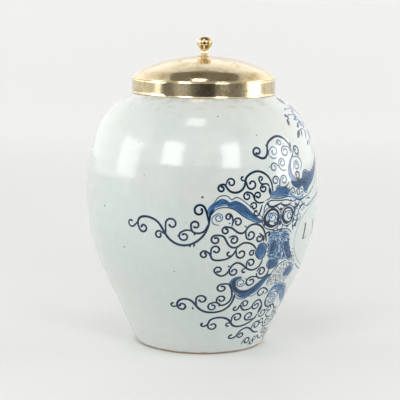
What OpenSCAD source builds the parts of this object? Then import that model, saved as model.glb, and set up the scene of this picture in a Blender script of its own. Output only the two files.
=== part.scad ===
// Apothecary jar: a thrown, tin-glazed earthenware pot with a slip-over brass lid.
// The jar's axis is Z, its foot stands at z = 0, and the painted front faces -Y.
// The lid's parts are drawn in place, resting on the neck.

/* [Pot] */
// Radius at the foot, where the flank meets the table
foot_r = 62; // [58:0.5:66]
// Largest radius, at the belly
belly_r = 111; // [108:0.5:115]
// Height of the widest place
belly_z = 150; // [145:1:155]
// Lean of the straight lower flank from upright, in degrees
flank_lean = 25; // [24:0.5:26]
// Radius of the long arc from the flank up to the belly
lower_arc = 200; // [195:1:205]
// Radius of the arc from the belly up to the shoulder
upper_arc = 157; // [153:1:161]
// Radius of the tight arc of the shoulder
shoulder_arc = 70; // [68:0.5:72]
// Height at which the upper arc gives way to the shoulder arc
shoulder_z = 200; // [197:1:203]
// Outside radius of the neck
neck_r = 65.6; // [64:0.1:66]
// Height of the neck's rim above the table
rim_z = 257.1; // [256:0.1:257.3]
// Wall thickness of the body
wall = 6.5; // [5:0.5:8]
// Wall thickness of the neck, which is also the width of its rounded rim
neck_wall = 6.4; // [6:0.1:7]
// Thickness of the floor
floor_t = 9; // [7:0.5:12]
// Width of the unglazed ring that the pot stands on
foot_ring_w = 11; // [8:1:16]
// Depth of the shallow hollow under the base
base_hollow = 2; // [1:0.5:3]
// Rounding of the foot's outer edge
foot_round = 1.6; // [1:0.1:2.5]

/* [Lid] */
// Thickness of the brass sheet of the dome and the band
sheet = 1; // [0.8:0.05:1.2]
// Outside radius at the top of the band
band_r = 68; // [67.8:0.1:68.6]
// How much wider the band is at its lower edge
band_flare = 0.5; // [0:0.1:0.8]
// Height of the band's lower edge, just clear of the shoulder
band_z = 240.8; // [240.6:0.1:242]
// Height of the joint between band and dome
joint_z = 254.6; // [254.4:0.1:254.8]
// How far the dome's edge stands out past the band
dome_lap = 0.3; // [0.2:0.05:0.4]
// Height of the dome's crown
crown_z = 275.5; // [275:0.1:276]
// Radius of the dome's rounded haunch, inside its edge
haunch_r = 20; // [18:0.5:24]
// How far the haunch faces up from level where it reaches the edge, in degrees
haunch_facing = 28.5; // [26:0.5:31]
// Radius of the rolled edge that runs round the dome
roll_r = 0.9; // [0.7:0.1:1]
// Leg of the solder fillet inside the joint
solder_leg = 1.4; // [1:0.1:1.5]

/* [Knob] */
// Largest radius of the knob
knob_r = 7.5; // [7:0.1:8]
// Radius of the rounding of the knob's head
knob_round = 5.4; // [5:0.1:5.6]
// Height of the knob's top above the table
knob_top_z = 293.8; // [293:0.1:295]
// Radius of the knob's slender neck
knob_neck_r = 2.9; // [2.7:0.1:3.2]
// Height of the middle of that neck
knob_neck_z = 280.2; // [280:0.1:280.6]
// Radius of the knob's spreading foot
knob_foot_r = 6.9; // [6.5:0.1:7.2]
// Radius of the stud that holds the knob
stud_r = 1.5; // [1.3:0.1:1.6]
// Radius of the washer under the dome
washer_r = 6; // [5:0.5:7]
// Width across the flats of the square nut
nut_w = 8; // [7:0.5:9]

/* [Hidden] */
$fn = 128;

eps = 0.01;
far = 400;              // larger than any part, for cutting planes
lower_c = belly_r - lower_arc;                    // the arcs' centres lie at belly_z
upper_c = belly_r - upper_arc;
flank_top_z = belly_z - lower_arc * sin(flank_lean);
flank_top_r = lower_c + lower_arc * cos(flank_lean);
shoulder_lean = asin((shoulder_z - belly_z) / upper_arc);
shoulder_cr = upper_c + (upper_arc - shoulder_arc) * cos(shoulder_lean);
shoulder_cz = belly_z + (upper_arc - shoulder_arc) * sin(shoulder_lean);
neck_foot_z = shoulder_cz + sqrt(pow(shoulder_arc, 2) - pow(neck_r, 2) + 2 * neck_r * shoulder_cr
                                 - pow(shoulder_cr, 2));

dome_edge_r = band_r + dome_lap;
haunch_cr = dome_edge_r - haunch_r * cos(haunch_facing);
haunch_cz = joint_z - haunch_r * sin(haunch_facing);
haunch_drop = crown_z - haunch_cz;
// the crown's wide arc is centred on the axis and runs smoothly into the haunch's
dome_arc = (pow(haunch_cr, 2) + pow(haunch_drop, 2) - pow(haunch_r, 2))
           / (2 * (haunch_drop - haunch_r));
dome_c = crown_z - dome_arc;
hole_play = 0.2;        // play of the stud in the holes of dome and washer

washer_t = 1.2;
washer_top_z = dome_c + sqrt(pow(dome_arc - sheet, 2) - pow(washer_r, 2));
nut_t = 3;
stud_top_z = 288;
stud_tail = 1.6;        // how far the stud stands out of the nut
knob_foot_t = 0.7;

// A slab of the section plane between two heights, on the positive side of the axis.
module slab(low, high) {
    translate([0, low]) square([far, high - low]);
}

// The pot's solid section up to the neck, with its outline taken in by inset.
// The flank's line moves in square to itself, and each arc keeps its centre.
module body_section(inset, low) {
    slip = inset / cos(flank_lean);
    flank_r = flank_top_r - inset * cos(flank_lean);
    flank_z = flank_top_z + inset * sin(flank_lean);
    polygon([[0, low], [flank_r - (flank_z - low) * tan(flank_lean), low], [flank_r, flank_z],
             [0, flank_z]]);
    intersection() {
        translate([lower_c, belly_z]) circle(r = lower_arc - inset);
        slab(flank_z - eps, belly_z);
    }
    intersection() {
        translate([upper_c, belly_z]) circle(r = upper_arc - inset);
        slab(belly_z - eps, shoulder_z - inset * sin(shoulder_lean));
    }
    intersection() {
        translate([shoulder_cr, shoulder_cz]) circle(r = shoulder_arc - inset);
        slab(shoulder_z - inset * sin(shoulder_lean) - eps, far);
        square([shoulder_cr + far, far]);
    }
    translate([0, shoulder_cz]) square([shoulder_cr + eps, shoulder_arc - inset]);
}

// The neck with its rounded rim.
module neck_section() {
    lip = neck_wall / 2;
    translate([neck_r - neck_wall, neck_foot_z - 2 * lip])
        square([neck_wall, rim_z - lip - neck_foot_z + 2 * lip]);
    translate([neck_r - lip, rim_z - lip]) circle(r = lip);
}

module pot() {
    color("#d5dad6")
    rotate_extrude()
    difference() {
        union() {
            body_section(0, 0);
            neck_section();
        }
        body_section(wall, floor_t);
        // the mouth
        translate([0, shoulder_cz]) square([neck_r - neck_wall, far]);
        // the hollow under the base
        translate([0, -eps]) square([foot_r - foot_ring_w, base_hollow + eps]);
        // the worn outer edge of the foot
        difference() {
            translate([foot_r - foot_round, -eps]) square([foot_round * 2, foot_round + eps]);
            translate([foot_r - foot_round, foot_round]) circle(r = foot_round);
        }
    }
}

// The dome's solid section, with its outline taken in by inset. The line through both
// arcs' centres parts the crown's wide arc from the haunch's.
module dome_section(inset) {
    beyond = [far * haunch_cr / (haunch_cz - dome_c), dome_c + far];
    intersection() {
        translate([0, dome_c]) circle(r = dome_arc - inset);
        polygon([[0, dome_c], beyond, [0, beyond[1]]]);
    }
    intersection() {
        translate([haunch_cr, haunch_cz]) circle(r = haunch_r - inset);
        polygon([[0, dome_c], [far, dome_c], beyond]);
    }
}

module lid_dome() {
    color("#d8bd84")
    difference() {
        rotate_extrude() {
            intersection() {
                difference() {
                    dome_section(0);
                    dome_section(sheet);
                }
                slab(joint_z, far);
            }
            // the rolled edge, cut flat where it sits on the band
            intersection() {
                translate([dome_edge_r - roll_r / 2, joint_z + roll_r / 2]) circle(r = roll_r);
                slab(joint_z, far);
            }
        }
        // the stud's hole
        cylinder(r = stud_r + hole_play, h = far);
    }
}

module lid_band() {
    color("#cdb06f")
    rotate_extrude()
    polygon([[band_r + band_flare - sheet, band_z], [band_r + band_flare, band_z],
             [band_r, joint_z], [band_r - sheet, joint_z]]);
}

// Soft solder run round the inside corner of band and dome.
module lid_solder_fillet() {
    corner_r = band_r - sheet;
    flare = band_flare * solder_leg / (joint_z - band_z);
    color("#9a9a94")
    rotate_extrude()
    polygon([[corner_r - solder_leg, joint_z], [corner_r, joint_z],
             [corner_r + flare, joint_z - solder_leg]]);
}

// Turned brass: a spreading foot, a slender neck and a pear-shaped head.
module finial_knob() {
    head_c = knob_r - knob_round;
    head_z = knob_top_z - knob_round;
    sweep = knob_neck_z - crown_z - knob_foot_t;   // radius of the hollow sweep of the foot
    // the straight draw down to the neck leaves the head's rounding on its tangent
    draw = [knob_neck_r - head_c, knob_neck_z - head_z];
    touch = atan2(draw[1], draw[0]) + acos(knob_round / norm(draw));
    color("#c9a24a")
    difference() {
        rotate_extrude() {
            intersection() {
                translate([head_c, head_z]) circle(r = knob_round);
                square([far, far]);
            }
            translate([0, head_z]) square([head_c + eps, knob_round]);
            polygon([[0, knob_neck_z], [knob_neck_r, knob_neck_z],
                     [head_c + knob_round * cos(touch), head_z + knob_round * sin(touch)],
                     [0, head_z]]);
            // the foot spreads in a quarter hollow
            difference() {
                translate([0, crown_z]) square([knob_foot_r, knob_neck_z - crown_z + eps]);
                translate([knob_neck_r + sweep, knob_neck_z]) circle(r = sweep);
                translate([knob_neck_r + sweep, crown_z + knob_foot_t]) square([far, far]);
            }
        }
        // the blind hole that the stud fills
        cylinder(r = stud_r, h = stud_top_z);
    }
}

module finial_stud() {
    tail_z = washer_top_z - washer_t - nut_t - stud_tail;
    color("#b59a55")
    translate([0, 0, tail_z]) cylinder(r = stud_r, h = stud_top_z - tail_z);
}

module finial_washer() {
    color("#b89b5b")
    translate([0, 0, washer_top_z - washer_t])
    difference() {
        cylinder(r = washer_r, h = washer_t);
        translate([0, 0, -eps]) cylinder(r = stud_r + hole_play, h = washer_t + 2 * eps);
    }
}

module finial_nut() {
    color("#a98f50")
    translate([0, 0, washer_top_z - washer_t - nut_t])
    difference() {
        translate([-nut_w / 2, -nut_w / 2, 0]) cube([nut_w, nut_w, nut_t]);
        translate([0, 0, -eps]) cylinder(r = stud_r, h = nut_t + 2 * eps);
    }
}

pot();
lid_dome();
lid_band();
lid_solder_fillet();
finial_knob();
finial_stud();
finial_washer();
finial_nut();
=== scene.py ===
"""A tall storage jar of painted tin-glazed earthenware with a slip-over brass lid, made round its CAD frame.

Shapes are worked out in millimetres. Angles round the jar are in degrees from the front (-Y), growing
towards +X, and a run is a distance in millimetres up the outside of the wall from the foot.
"""

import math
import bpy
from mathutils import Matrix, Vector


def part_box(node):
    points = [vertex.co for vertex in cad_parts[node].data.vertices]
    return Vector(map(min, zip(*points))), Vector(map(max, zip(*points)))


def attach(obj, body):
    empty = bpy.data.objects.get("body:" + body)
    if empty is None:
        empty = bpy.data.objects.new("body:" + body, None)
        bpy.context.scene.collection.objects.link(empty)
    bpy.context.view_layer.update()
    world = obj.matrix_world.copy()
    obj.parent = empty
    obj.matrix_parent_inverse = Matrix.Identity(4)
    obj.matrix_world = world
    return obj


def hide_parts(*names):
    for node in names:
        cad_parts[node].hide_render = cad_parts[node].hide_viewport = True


bl_info = {
    "name": "Apothecary jar",
    "version": (1, 0, 0),
    "blender": (4, 5, 0),
    "location": "View3D > Sidebar > Jar",
    "description": "Makes a painted, tin-glazed storage jar with a domed brass lid",
    "category": "Object",
}

from types import SimpleNamespace

import bpy
import numpy as np
from mathutils import Quaternion, Vector

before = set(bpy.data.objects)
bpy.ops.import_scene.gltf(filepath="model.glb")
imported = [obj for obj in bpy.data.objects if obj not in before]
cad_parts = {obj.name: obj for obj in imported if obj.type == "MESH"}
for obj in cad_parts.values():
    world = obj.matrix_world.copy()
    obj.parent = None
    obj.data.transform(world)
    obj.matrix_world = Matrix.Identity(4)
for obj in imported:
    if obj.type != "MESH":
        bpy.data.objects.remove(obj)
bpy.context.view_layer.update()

MM = 0.001
POT_LOW, POT_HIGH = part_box("pot")
BAND_LOW, BAND_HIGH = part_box("lid_band")
DOME_LOW, DOME_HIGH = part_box("lid_dome")
KNOB_LOW, KNOB_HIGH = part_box("finial_knob")
STUD_LOW, STUD_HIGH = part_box("finial_stud")
WASHER_LOW, WASHER_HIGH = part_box("finial_washer")
NUT_LOW, NUT_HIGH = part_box("finial_nut")


def linear(colour):
    """A colour written as an sRGB hex value, as linear red, green and blue."""
    parts = [int(colour[k:k + 2], 16) / 255 for k in (1, 3, 5)]
    return tuple(p / 12.92 if p <= 0.04045 else ((p + 0.055) / 1.055) ** 2.4 for p in parts)


# ---------------------------------------------------------------- sizes and colours that a user may change

def length(name, text, value):
    """A length property, whose default is given in metres."""
    return bpy.props.FloatProperty(name=name, description=text, default=value, precision=5, unit="LENGTH")


def tint(name, text, value):
    """A colour property, whose default is given as an sRGB hex value."""
    return bpy.props.FloatVectorProperty(name=name, description=text, default=linear(value), size=3,
                                         subtype="COLOR", min=0, max=1)


class JarPotSizes(bpy.types.PropertyGroup):
    """The thrown pot: its outside is a straight flank and three arcs that run into one another."""
    foot_radius: length("Foot radius", "Radius where the flank meets the table", 62 * MM)
    belly_radius: length("Belly radius", "Largest radius", POT_HIGH.x)
    belly_height: length("Belly height", "Height of the widest place", 150 * MM)
    flank_lean: bpy.props.FloatProperty(name="Flank lean", description="Lean of the lower flank from upright",
                                        default=math.radians(25), subtype="ANGLE", unit="ROTATION")
    lower_arc: length("Lower arc", "Radius of the arc from the flank to the belly", 200 * MM)
    upper_arc: length("Upper arc", "Radius of the arc from the belly to the shoulder", 157 * MM)
    shoulder_arc: length("Shoulder arc", "Radius of the arc of the shoulder", 70 * MM)
    shoulder_height: length("Shoulder height", "Height where the shoulder arc starts", 200 * MM)
    neck_radius: length("Neck radius", "Outside radius of the neck", 65.6 * MM)
    neck_wall: length("Neck wall", "Thickness of the neck and of its rounded rim", 6.4 * MM)
    rim_height: length("Rim height", "Height of the rim above the table", POT_HIGH.z)
    wall: length("Wall", "Thickness of the body's wall", 6.5 * MM)
    floor: length("Floor", "Height of the inside floor above the table", 9 * MM)
    foot_ring: length("Foot ring", "Width of the ring that the pot stands on", 11 * MM)
    base_hollow: length("Base hollow", "Depth of the hollow under the base", 2 * MM)
    foot_round: length("Foot rounding", "Rounding of the foot's outer edge", 1.6 * MM)
    ring_spacing: length("Throwing rings", "Distance between the potter's finger rings", 17 * MM)
    ring_depth: length("Ring depth", "Half the depth of the finger rings", 0.08 * MM)
    out_of_round: length("Out of round", "How far the belly is from a true circle", 0.25 * MM)


class JarLidSizes(bpy.types.PropertyGroup):
    """The lid: a brass band, a domed top with a rolled edge, and a turned knob held by a stud."""
    sheet: length("Sheet", "Thickness of the brass sheet", 1 * MM)
    band_flare: length("Band flare", "How much wider the band is at its foot", 0.5 * MM)
    band_radius: length("Band radius", "Outside radius at the band's foot", BAND_HIGH.x)
    band_foot: length("Band foot", "Height of the band's lower edge", BAND_LOW.z)
    joint: length("Joint", "Height of the joint between band and dome", BAND_HIGH.z)
    crown: length("Crown", "Height of the dome's crown", DOME_HIGH.z)
    haunch: length("Haunch", "Radius of the dome's rounded haunch", 20 * MM)
    haunch_facing: bpy.props.FloatProperty(name="Haunch facing", description="How far the haunch faces up from"
                                           " level at the dome's edge", default=math.radians(28.5),
                                           subtype="ANGLE", unit="ROTATION")
    lean: bpy.props.FloatProperty(name="Lean", description="How far the dome sits out of level on its band",
                                  default=math.radians(0.5), subtype="ANGLE", unit="ROTATION")
    roll: length("Rolled edge", "Radius of the rolled edge", 0.9 * MM)
    dome_lap: length("Dome lap", "How far the dome's edge stands past the top of the band", 0.3 * MM)
    seam_lap: length("Seam lap", "Height of the step where the band's ends lap", 0.7 * MM)
    solder_leg: length("Solder leg", "Leg of the solder fillet in the joint", 1.4 * MM)
    knob_radius: length("Knob radius", "Largest radius of the knob", KNOB_HIGH.x)
    knob_round: length("Knob rounding", "Radius of the rounding of the knob's head", 5.4 * MM)
    knob_top: length("Knob top", "Height of the knob's top", KNOB_HIGH.z)
    knob_neck_radius: length("Knob neck radius", "Radius of the knob's neck", 2.9 * MM)
    knob_neck: length("Knob neck", "Height of the middle of the knob's neck", 280.2 * MM)
    knob_foot_radius: length("Knob foot radius", "Radius of the knob's foot", 6.9 * MM)
    knob_foot_edge: length("Knob foot edge", "Thickness of the edge of the knob's foot", 0.7 * MM)
    stud_radius: length("Stud radius", "Outside radius of the stud's thread", STUD_HIGH.x)
    thread_pitch: length("Thread pitch", "Distance from one turn of the thread to the next", 0.7 * MM)


class JarPaintSizes(bpy.types.PropertyGroup):
    """The painting: where it lies on the wall and how thick the paint is taken to stand."""
    side_line: bpy.props.FloatProperty(name="Side line", description="Angle from the front to the line that the"
                                       " painted sides are set out from", default=math.radians(97),
                                       subtype="ANGLE", unit="ROTATION")
    ink_lift: length("Ink lift", "How far a full line stands off the glaze", 0.08 * MM)
    wash_lift: length("Wash lift", "How far a full wash stands off the glaze", 0.03 * MM)
    bleed: length("Bleed", "Width over which a line's edge fades into the glaze", 0.45 * MM)


class JarColours(bpy.types.PropertyGroup):
    """Colours of the glaze, the paint and the metal."""
    glaze_cool: tint("Cool glaze", "Bluish white of the tin glaze", "#c5cdca")
    glaze_warm: tint("Warm glaze", "Greyer, warmer clouds in the glaze", "#cacfc9")
    clay: tint("Clay", "Bare fired clay at the foot", "#b49c7c")
    cobalt_pale: tint("Pale cobalt", "Cobalt thinned with water", "#7f9dba")
    cobalt_mid: tint("Cobalt", "Cobalt at its plain strength", "#34608a")
    cobalt_deep: tint("Deep cobalt", "Cobalt laid on thickly", "#123050")
    cobalt_black: tint("Burnt cobalt", "Cobalt burnt almost black", "#08182c")
    brass_sheet: tint("Sheet brass", "Polished sheet brass of the lid", "#d7c6a2")
    brass_turned: tint("Turned brass", "Yellower brass of the turned knob", "#d8c8a6")
    solder: tint("Solder", "Dull grey soft solder", "#8f8f89")


class JarStageValues(bpy.types.PropertyGroup):
    """The floor, the windows' light and the room."""
    window_light: bpy.props.FloatProperty(name="Window light", description="Radiance of the windows", default=6.5)
    room_light: bpy.props.FloatProperty(name="Room light", description="Radiance of the white room", default=1.13)
    # the floor's three whites are painted shade: darker in front of the jar, lighter by it and behind it
    floor_front: tint("Floor in front", "The floor in front of the jar", "#d3d3d1")
    floor_near: tint("Floor near", "The floor by the jar", "#e4e4e2")
    floor_far: tint("Floor far", "The floor further back", "#eeeeec")
    backdrop: tint("Backdrop", "What is seen past the floor", "#f4f4f2")


GROUPS = {"jar_pot": JarPotSizes, "jar_lid": JarLidSizes, "jar_paint": JarPaintSizes,
          "jar_colours": JarColours, "jar_stage": JarStageValues}


def millimetres(group):
    """A property group's values by name, with its lengths in millimetres."""
    values = SimpleNamespace()
    for key, rna in group.bl_rna.properties.items():
        if rna.type == "FLOAT":
            value = getattr(group, key)
            setattr(values, key, value / MM if rna.unit == "LENGTH" else value)
    return values


# ---------------------------------------------------------------- meshes from grids of points

def ring_angles(count):
    """Angles in degrees of columns that go once round the axis."""
    return np.arange(count) * 360 / count


def turned(angle, radius, height):
    """Points at a radius and height: x is the radius by the angle's sine, and -y is the radius by its cosine."""
    swing = np.radians(angle)
    return np.stack(np.broadcast_arrays(radius * np.sin(swing), -radius * np.cos(swing), height), -1)


def grid_faces(rows, columns, around=False, along=False):
    """Quads of a grid whose rows go up and whose columns go to the right, so that each faces outwards."""
    i = np.arange(rows if along else rows - 1)[:, None]
    j = np.arange(columns if around else columns - 1)[None, :]
    up = (i + 1) % rows
    right = (j + 1) % columns
    corners = [i * columns + j, i * columns + right, up * columns + right, up * columns + j]
    return np.stack(np.broadcast_arrays(*corners), -1).reshape(-1, 4)


def make_piece(name, points, faces, material, normals=None, sharp=None):
    """One object from points in millimetres, shaded smooth, with its place in its mesh."""
    mesh = bpy.data.meshes.new(name)
    mesh.from_pydata((points * MM).tolist(), [], faces)
    mesh.shade_smooth()
    if sharp is not None:
        mesh.set_sharp_from_angle(angle=math.radians(sharp))
    if normals is not None:
        mesh.normals_split_custom_set_from_vertices(normals.tolist())
    mesh.materials.append(material)
    piece = bpy.data.objects.new(name, mesh)
    bpy.context.scene.collection.objects.link(piece)
    return piece


def revolve(name, outline, columns, material, warp=None, sharp=None):
    """An outline of radii and heights carried round the axis. warp(angle, radius, height) may move its points.
    An outline that starts and ends on the axis closes there in one point, and any other joins end to start."""
    outline = np.asarray(outline, float)
    angle = ring_angles(columns)[None, :]
    poles = outline[0, 0] < 1e-6 and outline[-1, 0] < 1e-6
    body = outline[1:-1] if poles else outline
    radius, height = np.broadcast_arrays(body[:, :1], angle)[0], np.broadcast_arrays(body[:, 1:], angle)[0]
    if warp:
        radius, height = warp(angle, radius, height)
    rows = len(body)
    points = turned(angle, radius, height).reshape(-1, 3)
    faces = grid_faces(rows, columns, around=True, along=not poles).tolist()
    if poles:
        j = np.arange(columns)
        right = (j + 1) % columns
        low, high = rows * columns, rows * columns + 1
        last = (rows - 1) * columns
        points = np.concatenate([points, [[0, 0, outline[0, 1]], [0, 0, outline[-1, 1]]]])
        faces += np.stack([np.full(columns, low), right, j], -1).tolist()
        faces += np.stack([np.full(columns, high), last + j, last + right], -1).tolist()
    return make_piece(name, points, faces, material, sharp=sharp)


def arc(centre, radius, start, end, count):
    """Points of an arc: the centre plus the radius at angles from start to end, in degrees from outwards."""
    swing = np.radians(np.linspace(start, end, count))
    return np.stack([centre[0] + radius * np.cos(swing), centre[1] + radius * np.sin(swing)], -1)


def line(start, end, spacing):
    """Points along a straight line at about a spacing, with both ends."""
    count = max(2, int(np.hypot(end[0] - start[0], end[1] - start[1]) / spacing) + 1)
    share = np.linspace(0, 1, count)[:, None]
    return np.array(start) * (1 - share) + np.array(end) * share


def join(*stretches):
    """One outline from stretches laid end to end, with points that fall on each other left out."""
    outline = np.concatenate(stretches)
    steps = np.hypot(*np.diff(outline, axis=0).T)
    return outline[np.r_[True, steps > 1e-4]]


# ---------------------------------------------------------------- the thrown wall

STRAIGHT = 1e6


class Wall:
    """The outside of the pot. Each stretch starts where the last one ends and facing the same way: a point at a
    run is the stretch's start plus its radius by the change in cosine (outwards) and in sine (upwards) of the
    facing angle, which grows by the run over the radius. The flank is an arc so wide that it is straight."""

    def __init__(self, pot):
        self.pot = pot
        lean = pot.flank_lean
        flank_top = pot.belly_height - pot.lower_arc * math.sin(lean)
        rise = math.asin((pot.shoulder_height - pot.belly_height) / pot.upper_arc)
        centre = pot.belly_radius - pot.upper_arc + (pot.upper_arc - pot.shoulder_arc) * math.cos(rise)
        self.neck_facing = math.acos((pot.neck_radius - centre) / pot.shoulder_arc)
        runs = [flank_top / math.cos(lean), pot.lower_arc * lean, pot.upper_arc * rise,
                pot.shoulder_arc * (self.neck_facing - rise)]
        self.starts = np.cumsum([0] + runs)
        self.radii = np.array([STRAIGHT, pot.lower_arc, pot.upper_arc, pot.shoulder_arc])
        self.facings = np.array([-lean, -lean, 0, rise])
        self.places = [(pot.foot_radius, 0.0)]
        for k in range(3):
            self.places.append(tuple(float(v) for v in self.stretch(k, self.starts[k + 1])[:2]))

    def stretch(self, k, run):
        """Radius, height and facing angle at a run on stretch k."""
        facing = self.facings[k] + (run - self.starts[k]) / self.radii[k]
        radius = self.places[k][0] + self.radii[k] * (np.cos(facing) - np.cos(self.facings[k]))
        height = self.places[k][1] + self.radii[k] * (np.sin(facing) - np.sin(self.facings[k]))
        return radius, height, facing

    def section(self, run):
        """Radius, height and facing angle at any run."""
        run = np.asarray(run, float)
        found = [self.stretch(k, run) for k in range(4)]
        which = np.clip(np.searchsorted(self.starts, run, side="right") - 1, 0, 3)
        return tuple(np.choose(which, [f[part] for f in found]) for part in range(3))

    def degree(self, run):
        """Millimetres to one degree round the wall at a run."""
        return self.section(run)[0] * math.pi / 180

    def thrown(self, angle, run):
        """How far the thrown wall stands off its true arcs: finger rings as a sine of the run that drifts round
        the pot, and a slow sine of twice the angle that makes the belly a little oval."""
        swing = np.radians(angle)
        spacing = self.pot.ring_spacing
        rings = np.sin(2 * math.pi * run / spacing + 1.4 * np.sin(run / 31) + 0.7 * np.sin(swing + 1))
        slow = np.sin(2 * swing + 0.8) + 0.4 * np.sin(3 * swing + run / 60)
        belly = np.sin(np.clip(run / self.starts[-1], 0, 1) * math.pi)
        return belly * (self.pot.ring_depth * rings + self.pot.out_of_round * slow)

    def place(self, angle, run, lift=0.0):
        """The point at an angle and a run, lifted off the thrown wall."""
        radius, height, facing = self.section(run)
        off = lift + self.thrown(angle, run)
        return turned(angle, radius + off * np.cos(facing), height + off * np.sin(facing))

    def normal(self, angle, run):
        """The way the thrown wall faces there: square to its tangents to the right and up."""
        step = 0.1
        right = self.place(angle + step, run) - self.place(angle - step, run)
        up = self.place(angle, run + step) - self.place(angle, run - step)
        facing = np.cross(right, up)
        return facing / np.linalg.norm(facing, axis=-1, keepdims=True)


def the_wall(context):
    """The wall of the pot with the sizes set in the scene."""
    return Wall(millimetres(context.scene.jar_pot))


# ---------------------------------------------------------------- materials

MIX_A, MIX_B, MIX_RESULT = 6, 7, 2      # a colour Mix node's sockets


def wire(tree, node, inputs):
    """Sets a node's sockets by name or number. Each gets a value, a link from a socket, or a link from the first
    output of another node."""
    for key, value in inputs.items():
        if isinstance(value, bpy.types.Node):
            value = value.outputs[0]
        if isinstance(value, bpy.types.NodeSocket):
            tree.links.new(value, node.inputs[key])
        else:
            node.inputs[key].default_value = value


def add(tree, kind, inputs=None, stops=None, **settings):
    """Adds a node of the kind ShaderNode plus the name given. Settings are its properties, inputs go to wire(),
    and stops are a colour ramp's places and colours."""
    node = tree.nodes.new("ShaderNode" + kind)
    for key, value in settings.items():
        setattr(node, key, value)
    wire(tree, node, inputs or {})
    for k, (place, colour) in enumerate(stops or []):
        element = node.color_ramp.elements[k] if k < 2 else node.color_ramp.elements.new(place)
        element.position = place
        element.color = (*colour, 1) if isinstance(colour, tuple) else (colour, colour, colour, 1)
    return node


def per(size):
    """Scale of a pattern on Object coordinates whose features are this many millimetres across."""
    return 1000 / size


def mix(tree, share, first, second, mode="MIX"):
    """The output of first and second mixed as colours by share. Plain colours are RGB tuples."""
    sides = {MIX_A: first, MIX_B: second}
    inputs = {0: share}
    inputs.update({k: (*v, 1) if isinstance(v, tuple) else v for k, v in sides.items()})
    node = add(tree, "Mix", inputs, data_type="RGBA", blend_type=mode)
    return node.outputs[MIX_RESULT]


def rgb(colour):
    """A colour property as a plain tuple."""
    return tuple(colour)


def new_material(name):
    """An empty node material, its tree and its Principled shader, which its output already shows."""
    material = bpy.data.materials.new(name)
    material.use_nodes = True
    tree = material.node_tree
    tree.nodes.clear()
    shader = add(tree, "BsdfPrincipled")
    add(tree, "OutputMaterial", {"Surface": shader})
    return material, tree, shader


GLAZE_IOR = 1.52        # a lead glaze


def glassy(material, colour, gloss, skin):
    """Finishes a material whose colour lies in or under the glaze."""
    tree = material.node_tree
    shader = tree.nodes["Principled BSDF"]
    wire(tree, shader, {"Base Color": colour, "Roughness": gloss, "Normal": skin, "IOR": GLAZE_IOR})
    return material


def paint_in_glaze(context, name):
    """Starts a material for paint fired into the glaze. Returns it, its tree, the sockets of the glaze round the
    paint, and the sockets of the ink and of the place."""
    material, tree, shader = new_material(name)
    glaze = glaze_surface(tree, context.scene.jar_colours)
    ink = add(tree, "Attribute", attribute_name="ink").outputs["Fac"]
    place = add(tree, "TexCoord").outputs["Object"]
    return material, tree, glaze, ink, place


def glaze_surface(tree, colours):
    """Tin glaze: a white lead glaze clouded with tin oxide. The eye gets a soft bluish white with warmer clouds
    a hand wide, a fine milky mottle, a few grey kiln specks, brownish upright streaks that grow denser and darker
    towards the lid, and a wet gloss that is a little uneven, like orange peel. Returns its colour, roughness and
    normal."""
    place = add(tree, "TexCoord").outputs["Object"]
    clouds = add(tree, "TexNoise", {"Vector": place, "Scale": per(110), "Detail": 2.0, "Roughness": 0.5})
    cloud_share = add(tree, "MapRange", {0: clouds, 1: 0.38, 2: 0.64})
    mottle = add(tree, "TexNoise", {"Vector": place, "Scale": per(9), "Detail": 4.0, "Roughness": 0.65})
    mottle_share = add(tree, "MapRange", {0: mottle, 1: 0.3, 2: 0.7, 3: 0.965, 4: 1.02})
    cells = add(tree, "TexVoronoi", {"Vector": place, "Scale": per(30)})
    speck = add(tree, "MapRange", {0: cells.outputs["Distance"], 1: 0.016, 2: 0.032, 3: 1.0, 4: 0.0})
    chosen = add(tree, "SeparateColor", {0: cells.outputs["Color"]})
    speck_here = add(tree, "Math", {0: chosen, 1: 0.62}, operation="GREATER_THAN")
    speck_share = add(tree, "Math", {0: speck, 1: speck_here}, operation="MULTIPLY")
    body = mix(tree, cloud_share, rgb(colours.glaze_cool), rgb(colours.glaze_warm))
    grey = add(tree, "CombineColor", {k: mottle_share for k in range(3)})
    mottled = mix(tree, 1.0, body, grey, mode="MULTIPLY")
    speckled = mix(tree, speck_share, mottled, linear("#8d8f82"))
    height = add(tree, "SeparateXYZ", {0: place}).outputs["Z"]
    # brownish upright streaks, sparse low down and denser and darker from 218 mm up to 242 mm, just under the lid
    smear = add(tree, "Mapping", {"Vector": place, "Scale": (1.0, 1.0, 2.6)})
    upright_streaks = add(tree, "TexNoise", {"Vector": smear, "Scale": per(14), "Detail": 5.0, "Roughness": 0.7})
    near_lid = add(tree, "MapRange", {0: height, 1: 218 * MM, 2: 242 * MM, 3: -0.16, 4: 0.06})
    streaks_by_height = add(tree, "Math", {0: upright_streaks, 1: near_lid}, operation="ADD")
    lid_streak_share = add(tree, "MapRange", {0: streaks_by_height, 1: 0.5, 2: 0.72, 3: 0.0, 4: 0.6})
    speckled = mix(tree, lid_streak_share, speckled, linear("#a9a18a"))
    gloss = add(tree, "MapRange", {0: mottle, 1: 0.3, 2: 0.7, 3: 0.08, 4: 0.15})
    swell = add(tree, "TexNoise", {"Vector": place, "Scale": per(21), "Detail": 1.0})
    peel = add(tree, "TexNoise", {"Vector": place, "Scale": per(3.2), "Detail": 2.0})
    wave = add(tree, "Bump", {"Height": swell, "Distance": 0.35 * MM, "Strength": 0.6})
    skin = add(tree, "Bump", {"Height": peel, "Distance": 0.12 * MM, "Strength": 0.6, "Normal": wave})
    return speckled, gloss, skin


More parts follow.
